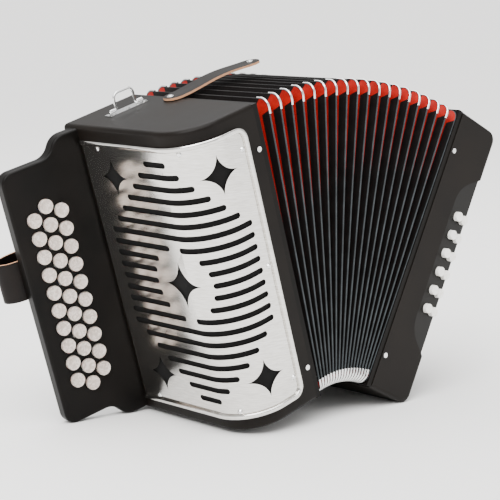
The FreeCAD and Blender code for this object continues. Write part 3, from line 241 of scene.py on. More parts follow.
# Finishes made of noise: the material's name, its constants, its fields, and then its colours,
# its roughness and its relief, each with the number of the field that it follows.
NOISE_FINISHES = {
    # Celluloid veneer, rubbed to a satin: nearly black, warm, with a faint orange peel.
    "celluloid": (
        "black_celluloid", {"Coat Weight": 0.03, "Coat Roughness": 0.25, "Specular IOR Level": 0.09},
        [{"size": 1.6, "detail": 2.0}, {"size": 60.0, "detail": 5.0}],
        (1, "#0d0a08", "#15110e"), (1, 0.36, 0.5), (0, 0.12, 0.05)),
    # Sprayed lacquer on the fingerboards: deeper black and a little smoother than the casings.
    "lacquer": (
        "board_lacquer", {"Coat Weight": 0.03, "Coat Roughness": 0.2, "Specular IOR Level": 0.08},
        [{"size": 0.9, "detail": 3.0}, {"size": 45.0, "detail": 4.0}],
        (1, "#070605", "#0f0c0a"), (1, 0.34, 0.46), (0, 0.1, 0.04)),
    # Stainless sheet, brushed along its length: satin, with fine streaks drawn 0.6 mm wide to show.
    "stainless": (
        "brushed_stainless", {"Metallic": 1.0, "Anisotropic": 0.4},
        [{"size": 0.6, "detail": 3.0, "stretch": (0.06, 0.06, 1.0), "turn": TILT},
         {"size": 50.0, "detail": 4.0}],
        (0, "#cfccc7", "#e6e4e0"), (1, 0.1, 0.19), (0, 0.06, 0.02), (0.35, 0.65)),
    # Chromium plate on small fittings: mirror bright, with hairline handling marks.
    "chrome": (
        "nickel_chrome", {"Metallic": 1.0}, [{"size": 2.5, "detail": 4.0}],
        (0, "#dcdcdd", "#f0f0ee"), (0, 0.07, 0.17), (0, 0.05, 0.02)),
    # Pearl celluloid, turned and polished: warm white with soft mother-of-pearl clouds.
    "pearl": (
        "pearl_celluloid", {
            "Coat Weight": 0.5, "Coat Roughness": 0.12, "Subsurface Weight": 0.06,
            "Subsurface Scale": 0.003},
        [{"size": 5.0, "detail": 3.0, "distortion": 1.6}],
        (0, "#b3a499", "#d8ccc3"), (0, 0.2, 0.34), (0, 0.04, 0.05), (0.35, 0.65)),
    # Pressed white plastic of the bass buttons: plain, slightly yellow in its hollows.
    "casein": (
        "white_casein", {"Coat Weight": 0.2, "Coat Roughness": 0.15}, [{"size": 4.0, "detail": 2.0}],
        (0, "#ece8df", "#f7f6f2"), (0, 0.22, 0.34), (0, 0.04, 0.03)),
    # The undyed cut edge of a strap: tan, with short fibres.
    "cut_leather": (
        "cut_leather", {"Sheen Weight": 0.1}, [{"size": 0.8, "detail": 4.0}],
        (0, "#a4714f", "#d2a078"), (0, 0.6, 0.8), (0, 0.3, 0.1)),
    # Planed spruce inside the instrument: pale, with grain lines 2 mm apart.
    "spruce": (
        "spruce", {"Coat Weight": 0.05},
        [{"size": 4.0, "detail": 6.0, "stretch": (1.0, 1.0, 0.08), "turn": TILT, "distortion": 0.4}],
        (0, "#b98a55", "#dcb988"), (0, 0.5, 0.65), (0, 0.2, 0.1)),
    # Stamped aluminium levers: grey, with marks of the rollers.
    "aluminium": (
        "lever_aluminium", {"Metallic": 1.0}, [{"size": 1.2, "detail": 3.0, "stretch": (1.0, 0.1, 1.0)}],
        (0, "#9c9d9f", "#bcbdbf"), (0, 0.32, 0.45), (0, 0.08, 0.03)),
}


def noisy(name, constants, fields, colours, rough, relief, spread=(0.3, 0.7)):
    """A material from its row of the table above."""
    made, tree, shader = material(name, constants)
    heights = []
    for field in fields:
        place = object_place(tree, field.get("stretch", (1.0, 1.0, 1.0)), field.get("turn", 0.0))
        noise = add(tree, "ShaderNodeTexNoise", sockets={
            "Vector": place.outputs["Vector"], "Scale": per_metre(field["size"]),
            "Detail": field["detail"], "Distortion": field.get("distortion", 0.0)})
        heights.append(noise.outputs["Fac"])
    driven = [(heights[number], *rest) for number, *rest in (colours, rough, relief)]
    dress(tree, shader, *driven, spread=spread)
    return made


FINISHES = {}


def finish(name):
    """A finish by its name, made once."""
    makers = {
        "leather": strap_leather,
        "black_cloth": lambda: cloth("black_bellows_cloth", "#050404", "#0c0a09", 0.8, 0.5),
        "red_cloth": lambda: cloth("red_gusset_cloth", "#860a04", "#a3140a", 0.8, 0.55),
        # The tape on the ridges is coloured grey instead of black, as a painted highlight along each
        # ridge.
        "ridge_tape": lambda: cloth("grey_ridge_tape", "#24282a", "#363b3e", 0.6, 0.42),
        "grille_cloth": lambda: cloth("grille_cloth", "#030303", "#070606", 1.2, 0.8),
        "thread": lambda: cloth("waxed_thread", "#2a2421", "#453a33", 0.5, 0.6),
    }
    if name not in FINISHES:
        FINISHES[name] = noisy(*NOISE_FINISHES[name]) if name in NOISE_FINISHES else makers[name]()
    return FINISHES[name]


def paint(piece, *names):
    """Give a piece its finishes, one per material slot."""
    slots = [cell.material_index for cell in piece.data.polygons]
    piece.data.materials.clear()
    for name in names:
        piece.data.materials.append(finish(name))
    for cell, slot in zip(piece.data.polygons, slots):
        cell.material_index = min(slot, len(names) - 1)


def clothe_node(node, name):
    """Put a finish on a frame node that stays visible."""
    piece = NODES[node]
    for index in range(len(piece.material_slots)):
        piece.material_slots[index].material = finish(name)
    if not piece.material_slots:
        piece.data.materials.append(finish(name))


def copy_node(node, name):
    """A plain copy of a frame node in the row frame, free of its custom normals."""
    piece = NODES[node].copy()
    piece.data = NODES[node].data.copy()
    piece.name = name
    piece.parent = None
    for key in list(piece.keys()):
        if key.startswith("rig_"):
            del piece[key]
    bpy.context.scene.collection.objects.link(piece)
    only(piece)
    if piece.data.has_custom_normals:
        bpy.ops.mesh.customdata_custom_splitnormals_clear()
    return piece


# --- modelling helpers -------------------------------------------------------------------------


def deselect():
    """Leave edit mode and clear the selection."""
    if bpy.context.object and bpy.context.object.mode != "OBJECT":
        bpy.ops.object.mode_set(mode="OBJECT")
    bpy.ops.object.select_all(action="DESELECT")


def only(piece):
    """Make one piece the selected and active one."""
    deselect()
    piece.select_set(True)
    bpy.context.view_layer.objects.active = piece


def apply_modifier(piece, kind, **settings):
    """Add a modifier, set it and apply it."""
    only(piece)
    made = piece.modifiers.new(kind.title(), kind)
    for name, value in settings.items():
        setattr(made, name, value)
    bpy.ops.object.modifier_apply(modifier=made.name)


def smooth(piece, degrees=35.0):
    """Shade smooth except at sharp edges."""
    only(piece)
    bpy.ops.object.shade_smooth_by_angle(angle=math.radians(degrees))


def edit(piece, action, **settings):
    """Run one edit-mode operator on the whole mesh."""
    only(piece)
    bpy.ops.object.mode_set(mode="EDIT")
    bpy.ops.mesh.select_all(action="SELECT")
    action(**settings)
    bpy.ops.object.mode_set(mode="OBJECT")


def choose(piece, kind, items, test):
    """Enter edit mode with only the faces or vertices that pass a test selected."""
    only(piece)
    bpy.ops.object.mode_set(mode="EDIT")
    bpy.ops.mesh.select_mode(type=kind)
    bpy.ops.mesh.select_all(action="DESELECT")
    bpy.ops.object.mode_set(mode="OBJECT")
    for item in getattr(piece.data, items):
        item.select = test(item)
    bpy.ops.object.mode_set(mode="EDIT")


def set_down(piece, matrix):
    """Bring a finished piece from its own millimetres into the row frame."""
    piece.data.transform(piece.matrix_world)
    piece.matrix_world = Matrix.Identity(4)
    piece.data.transform(matrix)
    if matrix.determinant() < 0:
        piece.data.flip_normals()
    piece.data.update()


def join(name, pieces):
    """Join pieces to one object."""
    deselect()
    for piece in pieces:
        piece.select_set(True)
    bpy.context.view_layer.objects.active = pieces[0]
    if len(pieces) > 1:
        bpy.ops.object.join()
    pieces[0].name = name
    return pieces[0]


def surface(name, across, along, place, pick=None, closed=False):
    """A grid shaped by a formula of two shares; pick gives each cell's material slot."""
    deselect()
    bpy.ops.mesh.primitive_grid_add(x_subdivisions=across, y_subdivisions=along, size=2)
    piece = bpy.context.object
    piece.name = name
    mesh = piece.data
    if pick:
        for cell in mesh.polygons:
            column = int((cell.center.x + 1) / 2 * across)
            row = int((cell.center.y + 1) / 2 * along)
            cell.material_index = pick(column, row)
    for corner in mesh.vertices:
        corner.co = place((corner.co.x + 1) / 2, (corner.co.y + 1) / 2)
    if closed:
        edit(piece, bpy.ops.mesh.remove_doubles, threshold=0.001)
    return piece


def face_out(piece, middle):
    """Turn a shell's faces away from a middle point, if most of them face it."""
    mesh = piece.data
    total = sum(cell.normal.dot(cell.center - middle) * cell.area for cell in mesh.polygons)
    if total < 0:
        mesh.flip_normals()


def disc(name, radius, height, place=(0, 0, 0), sides=40, edge=0.0, rim=0.0, dish=0.0):
    """A turned disc or rod standing on a place, with a rounded edge and a dished top."""
    deselect()
    middle = (place[0], place[1], place[2] + height / 2)
    bpy.ops.mesh.primitive_cylinder_add(vertices=sides, radius=radius, depth=height, location=middle)
    piece = bpy.context.object
    piece.name = name
    bpy.ops.object.transform_apply(location=True, rotation=True, scale=True)
    top = place[2] + height
    if rim:
        choose(piece, "FACE", "polygons",
               lambda cell: abs(cell.center.z - top) < 1e-3 and cell.normal.z > 0.9)
        bpy.ops.mesh.inset(thickness=rim)
        bpy.ops.transform.translate(value=(0, 0, -dish))
        bpy.ops.mesh.inset(thickness=rim)
        bpy.ops.transform.translate(value=(0, 0, -dish / 2))
        bpy.ops.object.mode_set(mode="OBJECT")
    if edge:
        apply_modifier(piece, "BEVEL", width=edge, segments=3, limit_method="ANGLE",
                       angle_limit=math.radians(50))
    smooth(piece)
    return piece


def route(points, share):
    """A point and the direction on a smooth curve through points, at a share of its length."""
    spans = len(points) - 1
    reach = min(max(share, 0.0), 1.0) * spans
    index = min(int(reach), spans - 1)
    t = reach - index
    knots = [points[min(max(index + step, 0), spans)] for step in (-1, 0, 1, 2)]
    p0, p1, p2, p3 = [Vector(knot) for knot in knots]
    place = 0.5 * (2 * p1 + (p2 - p0) * t + (2 * p0 - 5 * p1 + 4 * p2 - p3) * t ** 2
                   + (3 * p1 - p0 - 3 * p2 + p3) * t ** 3)
    ahead = 0.5 * ((p2 - p0) + 2 * (2 * p0 - 5 * p1 + 4 * p2 - p3) * t
                   + 3 * (3 * p1 - p0 - 3 * p2 + p3) * t ** 2)
    return place, ahead.normalized()


# --- the bellows' fan --------------------------------------------------------------------------

FOLD_START = TREBLE_WIDE + FRAME_THICK
BASS_CORNER = TREBLE.inverted() @ (BASS @ Vector((-FRAME_THICK, 0, 0)))
BASS_X = (TREBLE.to_3x3().inverted() @ (BASS.to_3x3() @ Vector((1, 0, 0))))
FAN = math.atan2(-BASS_X.z, BASS_X.x)
BASS_ROOT = (BASS_CORNER.x - FOLD_START) / math.sin(FAN)
TREBLE_ROOT = BASS_ROOT * math.cos(FAN) - BASS_CORNER.z


def fan_point(share, y, height, aside=0.0):
    """A point of the fanned bellows in the treble frame; share runs from the treble to the bass end."""
    angle = FAN * share
    reach = TREBLE_ROOT + (BASS_ROOT - TREBLE_ROOT) * share + height
    x = FOLD_START + reach * math.sin(angle) + aside * math.cos(angle)
    z = -TREBLE_ROOT + reach * math.cos(angle) - aside * math.sin(angle)
    return Vector((x, y, z))


def bend_slice(piece, near, away):
    """Bake a slice of the bellows' placement into its mesh."""
    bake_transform(piece)


def slice_ends(first, last):
    """Points in the row frame on a slice's two faces, near the top where the folds are widest."""
    height = CASING_HIGH * 0.8
    middle = CASING_DEEP / 2
    return (TREBLE @ fan_point(first, middle, height)), (TREBLE @ fan_point(last, middle, height))


# --- settings ----------------------------------------------------------------------------------


def length(name, description, size_mm):
    """A length property, its default given in millimetres."""
    return bpy.props.FloatProperty(name=name, description=description, default=size_mm * MM,
                                   subtype="DISTANCE", unit="LENGTH")


def in_mm(group):
    """The lengths of a property group in millimetres."""
    names = type(group).__annotations__
    return SimpleNamespace(**{name: round(getattr(group, name) / MM, 4) for name in names})


class BellowsSettings(bpy.types.PropertyGroup):
    """Sizes of the bellows' cloth and metal."""
    fold_depth: length("Fold depth", "Ridge to valley", 17.5)
    black_depth: length("Black cloth", "Black part of a wall", 8.0)
    corner_round: length("Corner radius", "Corner of a ridge", 9.0)
    ridge_half: length("Ridge", "Half of a ridge's width", 0.95)
    card: length("Card", "Thickness of card and cloth", 0.7)
    corner_leg: length("Corner leg", "Metal corner past its bend", 5.0)
    corner_metal: length("Corner metal", "Metal corner's width", 2.2)


class ButtonSettings(bpy.types.PropertyGroup):
    """Sizes of the treble and bass buttons."""
    treble_radius: length("Treble radius", "Treble button", 7.0)
    treble_proud: length("Treble proud", "Above the board", 4.2)
    rim: length("Rim", "Raised rim of a button", 1.2)
    dish: length("Dish", "Hollow of a button's top", 0.6)
    bass_radius: length("Bass radius", "Bass button", 4.9)
    bass_proud: length("Bass proud", "Above the board", 5.0)


class StrapSettings(bpy.types.PropertyGroup):
    """Sizes of the leather straps."""
    leather: length("Leather", "Thickness", 2.2)
    hand_width: length("Hand strap", "Width", 62.0)
    thumb_width: length("Thumb strap", "Width", 40.0)
    stitch: length("Stitch", "Length of a stitch", 3.2)
    rise: length("Rise", "Bow of the bellows strap", 3.0)


class StageSettings(bpy.types.PropertyGroup):
    """Floor and light."""
    floor: bpy.props.FloatVectorProperty(name="Floor", description="Floor colour", subtype="COLOR", size=3,
                                         default=linear("#f4f3f1"))
    sky: bpy.props.FloatProperty(name="Sky", description="Strength of the room's light", default=1.0)
    sun: bpy.props.FloatProperty(name="Sun", description="Strength of the even light", default=4.5)


# --- operators ---------------------------------------------------------------------------------


class ACCORDION_OT_casings(bpy.types.Operator):
    """Finish the casings, boards and frames"""
    bl_idname = "accordion.casings"
    bl_label = "Casings and boards"

    def execute(self, context):
        clothe_node("treble_casing", "celluloid")
        clothe_node("bass_casing", "celluloid")
        clothe_node("fingerboard", "lacquer")
        clothe_node("bass_button_board", "lacquer")
        clothe_node("treble_bellows_frame", "lacquer")
        clothe_node("bass_bellows_frame", "lacquer")
        return {"FINISHED"}


class ACCORDION_OT_insides(bpy.types.Operator):
    """Finish the soundboards, reed blocks and axle inside"""
    bl_idname = "accordion.insides"
    bl_label = "Inside works"

    def execute(self, context):
        for node in ("treble_soundboard", "bass_soundboard", "treble_reed_blocks", "bass_reed_blocks"):
            clothe_node(node, "spruce")
        clothe_node("key_axle", "stainless")
        return {"FINISHED"}


def grille_point(run, out):
    """Point of the wrapped sheet in the treble frame, without its height."""
    if run < FRONT_RUN:
        return Vector((GRILLE_FRONT - run, -out, 0))
    if run < FRONT_RUN + ROUND_RUN:
        angle = math.pi * 1.5 - (run - FRONT_RUN) / END_ROUND
        reach = END_ROUND + out
        return Vector((END_ROUND + reach * math.cos(angle), END_ROUND + reach * math.sin(angle), 0))
    return Vector((-out, END_ROUND + run - FRONT_RUN - ROUND_RUN, 0))


def unrolled(point):
    """Run along the sheet, height and distance out of a point in the treble frame."""
    if point.x > END_ROUND:
        return Vector((GRILLE_FRONT - point.x, point.z, -point.y))
    if point.y > END_ROUND:
        return Vector((FRONT_RUN + ROUND_RUN + point.y - END_ROUND, point.z, -point.x))
    across, back = point.x - END_ROUND, point.y - END_ROUND
    turn = math.atan2(-across, -back)
    return Vector((FRONT_RUN + END_ROUND * turn, point.z, math.hypot(across, back) - END_ROUND))


class ACCORDION_OT_grille(bpy.types.Operator):
    """Steel grille with its rounded lip, screws and the cloth behind it"""
    bl_idname = "accordion.grille"
    bl_label = "Grille"

    def execute(self, context):
        self.sheet_metal()
        clothe_node("grille_screws", "chrome")
        self.cloth_behind()
        self.bead()
        return {"FINISHED"}

    def sheet_metal(self):
        """The slotted sheet, unrolled, cut into even strips over its curve and rolled again."""
        piece = copy_node("treble_grille", "grille_sheet")
        piece.data.transform(TREBLE.inverted())
        edit(piece, bpy.ops.mesh.remove_doubles, threshold=0.005)
        for corner in piece.data.vertices:
            corner.co = unrolled(corner.co)
        for strip in range(CURVE_STRIPS + 1):
            edit(piece, bpy.ops.mesh.bisect, plane_no=(1, 0, 0),
                 plane_co=(FRONT_RUN + ROUND_RUN * strip / CURVE_STRIPS, 0, 0))
        for corner in piece.data.vertices:
            run, height, out = corner.co
            corner.co = grille_point(run, out)
            corner.co.z = height
        edit(piece, bpy.ops.mesh.normals_make_consistent, inside=False)
        paint(piece, "stainless")
        smooth(piece, 25)
        set_down(piece, TREBLE)
        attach(piece, "treble")
        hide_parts("treble_grille")

    def bead(self):
        """Polished half-round edge that rolls over the sheet's lip on three sides."""
        inset, corner, wide, high = 2.0, 10.0, 2.3, 1.1
        last = FRONT_RUN + ROUND_RUN + GRILLE_REAR - END_ROUND - 0.6
        low, top = GRILLE_MARGIN + inset, CASING_HIGH - GRILLE_MARGIN - inset
        path = [(last - (last - inset - corner) * step / 40, low, 0.0, -1.0) for step in range(41)]
        for step in range(1, 9):
            turn = math.pi / 2 * step / 8
            path.append((inset + corner - corner * math.sin(turn), low + corner - corner * math.cos(turn),
                         -math.sin(turn), -math.cos(turn)))
        path += [(run, CASING_HIGH - height, out_run, -out_up)
                 for run, height, out_run, out_up in reversed(path)]
        count = len(path) - 1

        def place(u, v):
            run, height, out_run, out_up = path[round(u * count)]
            turn = 2 * math.pi * v
            swell = 0.2 if u in (0.0, 1.0) else 1.0
            side = wide * swell * math.cos(turn)
            lift = GRILLE_LIP - 0.3 + high * swell * max(math.sin(turn), -0.2)
            point = grille_point(run + side * out_run, lift)
            point.z = height + side * out_up
            return point

        piece = surface("grille_bead", count, 12, place, closed=True)
        edit(piece, bpy.ops.mesh.normals_make_consistent, inside=False)
        paint(piece, "stainless")
        smooth(piece, 60)
        set_down(piece, TREBLE)
        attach(piece, "treble")

    def cloth_behind(self):
        """Dust cloth stretched over the casing's window, behind the slots."""
        gap = 0.6
        behind = -0.9
        first = GRILLE_BORDER + gap
        last = FRONT_RUN + ROUND_RUN + GRILLE_REAR - GRILLE_BORDER - END_ROUND - gap
        low = GRILLE_MARGIN + GRILLE_BORDER + gap
        high = CASING_HIGH - low

        def place(u, v):
            point = grille_point(first + (last - first) * u, behind)
            point.z = low + (high - low) * v
            return point

        piece = surface("grille_cloth", 40, 12, place)
        face_out(piece, Vector((END_ROUND, 100, CASING_HIGH / 2)))
        apply_modifier(piece, "SOLIDIFY", thickness=0.5, offset=-1)
        paint(piece, "grille_cloth")
        smooth(piece)
        set_down(piece, TREBLE)
        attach(piece, "treble")


class ACCORDION_OT_treble_keys(bpy.types.Operator):
    """Pearl buttons on their levers, each with its pallet"""
    bl_idname = "accordion.treble_keys"
    bl_label = "Treble keys"

    def execute(self, context):
        settings = in_mm(context.scene.accordion_buttons)
        height = settings.treble_proud + CAP_SINK
        master = disc("button_master", settings.treble_radius, height, sides=48, edge=0.7,
                      rim=settings.rim, dish=settings.dish)
        paint(master, "aluminium", "leather", "pearl")
        for cell in master.data.polygons:
            cell.material_index = 2
        face_front = Matrix.Rotation(math.radians(90), 4, "X")
        keys = sorted(name for name in NODES if name.startswith("treble_key_"))
        for node in keys:
            self.make_key(node, master, face_front @ Matrix.Translation((0, 0, -CAP_SINK)))
        bpy.data.objects.remove(master)
        return {"FINISHED"}

    def make_key(self, node, master, stand):
        """Copy the lever and pallet of one key, and put a turned cap on it."""
        to_board = BOARD.inverted()
        lever = copy_node(node, "lever")
        lever.data.transform(to_board)
        edit(lever, bpy.ops.mesh.remove_doubles, threshold=0.001)

        def on_cap(corner):
            return corner.co.y < -1 and corner.co.x < -CAP_FROM

        caps = [corner.co for corner in lever.data.vertices if on_cap(corner)]
        middle = sum(caps, Vector()) / len(caps)
        choose(lever, "VERT", "vertices", on_cap)
        bpy.ops.mesh.select_linked()
        bpy.ops.mesh.delete(type="VERT")
        bpy.ops.object.mode_set(mode="OBJECT")
        paint(lever, "aluminium", "leather", "pearl")
        to_treble = TREBLE.inverted() @ BOARD
        for cell in lever.data.polygons:
            cell.material_index = 1 if (to_treble @ cell.center).x > PALLET_FROM else 0
        cap = master.copy()
        cap.data = master.data.copy()
        bpy.context.scene.collection.objects.link(cap)
        cap.data.transform(Matrix.Translation((middle.x, 0, middle.z)) @ stand)
        number = node.rsplit("_", 1)[1]
        piece = join("treble_button_" + number, [lever, cap])
        set_down(piece, BOARD)
        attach(piece, "key_" + number)
        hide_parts(node)


class ACCORDION_OT_bellows(bpy.types.Operator):
    """Bellows folds: black walls, red valleys, red corner gussets and ridge tape coloured grey as a
    painted highlight
    """
    bl_idname = "accordion.bellows"
    bl_label = "Bellows folds"

    def execute(self, context):
        settings = in_mm(context.scene.accordion_bellows)
        depth, black, half = settings.fold_depth, settings.black_depth, settings.ridge_half
        slope = 0.5 * black / depth
        sections = [
            (0.0, 0.0, 0.0), (0.0, 0.12, half * 0.6), (0.0, 0.55, half), (0.0, 1.6, half),
            (slope, black, 0.0), (0.46, depth - 0.7, 0.0), (0.5, depth, 0.0), (0.54, depth - 0.7, 0.0),
            (1 - slope, black, 0.0), (1.0, 1.6, -half), (1.0, 0.55, -half), (1.0, 0.12, -half * 0.6),
            (1.0, 0.0, 0.0)]
        for number in range(FOLDS):
            self.make_fold(number, sections, settings)
        return {"FINISHED"}

    def make_fold(self, number, sections, settings):
        """One fold, from a ridge through the valley to the next ridge."""
        first, last = number / FOLDS, (number + 1) / FOLDS
        corner_steps, tall_steps, deep_steps = 7, 6, 4
        outline = rounded_outline(corner_steps, tall_steps, deep_steps)
        columns = len(outline)

        def place(u, v):
            share, inward, aside = sections[round(v * (len(sections) - 1))]
            side = outline[round(u * columns) % columns]
            y, z = outline_place(side, RIDGE_INSET + inward, settings.corner_round - inward * 0.4)
            return fan_point((number + share) / FOLDS, y, z, aside)

        def pick(column, row):
            here, there = outline[column], outline[(column + 1) % columns]
            inward = (sections[row][1] + sections[row + 1][1]) / 2
            # Ridge cells take the grey tape, a painted highlight, except on the top side, which stays
            # black.
            if inward < 0.6:
                return 0 if here[:2] == TOP_SIDE else 2
            if inward > settings.black_depth or (here[0] == "corner" and there[0] == "corner"):
                return 1
            if self.in_gusset(here, there):
                return 1
            return 0

        piece = surface("bellows_fold_%02d" % (number + 1), columns, len(sections) - 1, place, pick, True)
        face_out(piece, fan_point((first + last) / 2, CASING_DEEP / 2, CASING_HIGH / 2))
        apply_modifier(piece, "SOLIDIFY", thickness=settings.card, offset=-1)
        # Slot 2 is the ridge tape, coloured grey as a painted highlight.
        paint(piece, "black_cloth", "red_cloth", "ridge_tape")
        smooth(piece, 30)
        set_down(piece, TREBLE)
        near, away = slice_ends(first, last)
        bend_slice(piece, near, away)
        if number == 0:
            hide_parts("bellows_folds")

    def in_gusset(self, here, there):
        """True for the short stretch of a side next to a corner."""
        tags = (here[2], there[2])
        return ("near" in tags and here[0] == "corner") or ("far" in tags and there[0] == "corner")


def rounded_outline(corner_steps, tall_steps, deep_steps):
    """Stations round a rounded rectangle: corner or side, which one, and a share or a tag."""
    stations = []
    for corner in range(4):
        for step in range(corner_steps + 1):
            stations.append(("corner", corner, step / corner_steps))
        steps = tall_steps if corner % 2 == 0 else deep_steps
        stations.append(("side", corner, "near"))
        for step in range(1, steps):
            stations.append(("side", corner, step / steps))
        stations.append(("side", corner, "far"))
    return stations


def outline_place(station, inset, bend):
    """Front-to-back and height of a station on a rectangle with an inset and a corner radius."""
    kind, index, share = station
    bend = max(bend, 1.0)

    def corner_end(corner, turn):
        deep, tall = CORNER_CENTRES[corner % 4]
        y = inset + bend if deep == 0 else CASING_DEEP - inset - bend
        z = inset + bend if tall == 0 else CASING_HIGH - inset - bend
        angle = math.pi * 1.5 - (corner % 4 + turn) * math.pi / 2
        return y + bend * math.cos(angle), z + bend * math.sin(angle)

    if kind == "corner":
        return corner_end(index, share)
    start, end = corner_end(index, 1.0), corner_end(index + 1, 0.0)
    length = math.dist(start, end)
    if share == "near":
        share = GUSSET_RUN / length
    elif share == "far":
        share = 1 - GUSSET_RUN / length
    return tuple(a + (b - a) * share for a, b in zip(start, end))


class ACCORDION_OT_corners(bpy.types.Operator):
    """Bright metal corners on the ridges and on both bellows frames"""
    bl_idname = "accordion.corners"
    bl_label = "Bellows corners"

    def execute(self, context):
        settings = in_mm(context.scene.accordion_bellows)
        for number in range(FOLDS + 1):
            share = number / FOLDS
            shift = {0: -1.6, FOLDS: 1.6}.get(number, 0.0)
            piece = self.make_corners(number, share, shift, settings)
            if number in (0, FOLDS):
                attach(piece, "bass" if number else "treble")
            else:
                near, away = slice_ends(share - 0.02, share + 0.02)
                bend_slice(piece, near, away)
            if number == 1:
                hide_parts("bellows_corners")
        return {"FINISHED"}

    def make_corners(self, number, share, shift, settings):
        """Four bent half-round strips, one over each corner of a ridge."""
        pieces = [self.make_strip(corner, share, shift, settings) for corner in range(4)]
        piece = join("bellows_corner_%02d" % number, pieces)
        edit(piece, bpy.ops.mesh.normals_make_consistent, inside=False)
        paint(piece, "chrome")
        smooth(piece, 50)
        set_down(piece, TREBLE)
        return piece

    def make_strip(self, corner, share, shift, settings):
        """One half-round strip bent round a corner, closed at its ends."""
        steps, around = 20, 8
        bend = settings.corner_round
        inset = RIDGE_INSET
        wide = settings.corner_metal / 2
        thick = 0.9
        arc = bend * math.pi / 2
        total = arc + 2 * settings.corner_leg
        deep, tall = CORNER_CENTRES[corner]
        centre_y = inset + bend if deep == 0 else CASING_DEEP - inset - bend
        centre_z = inset + bend if tall == 0 else CASING_HIGH - inset - bend
        first = math.pi * 1.5 - corner * math.pi / 2

        def place(u, v):
            run = min(max((u * steps - 1) / (steps - 2), 0), 1) * total - settings.corner_leg
            swell = 0.05 if u < 0.5 / steps or u > 1 - 0.5 / steps else 1.0
            angle = first - min(max(run, 0), arc) / bend
            out = (math.cos(angle), math.sin(angle))
            ahead = (math.sin(angle), -math.cos(angle))
            past = run if run < 0 else max(run - arc, 0)
            turn = v * 2 * math.pi
            lift = bend + 0.25 + thick * swell * max(math.sin(turn), -0.35)
            side = wide * swell * math.cos(turn)
            y = centre_y + out[0] * lift + ahead[0] * past
            z = centre_z + out[1] * lift + ahead[1] * past
            return fan_point(share, y, z, side + shift)

        return surface("corner_strip", steps, around, place, closed=True)


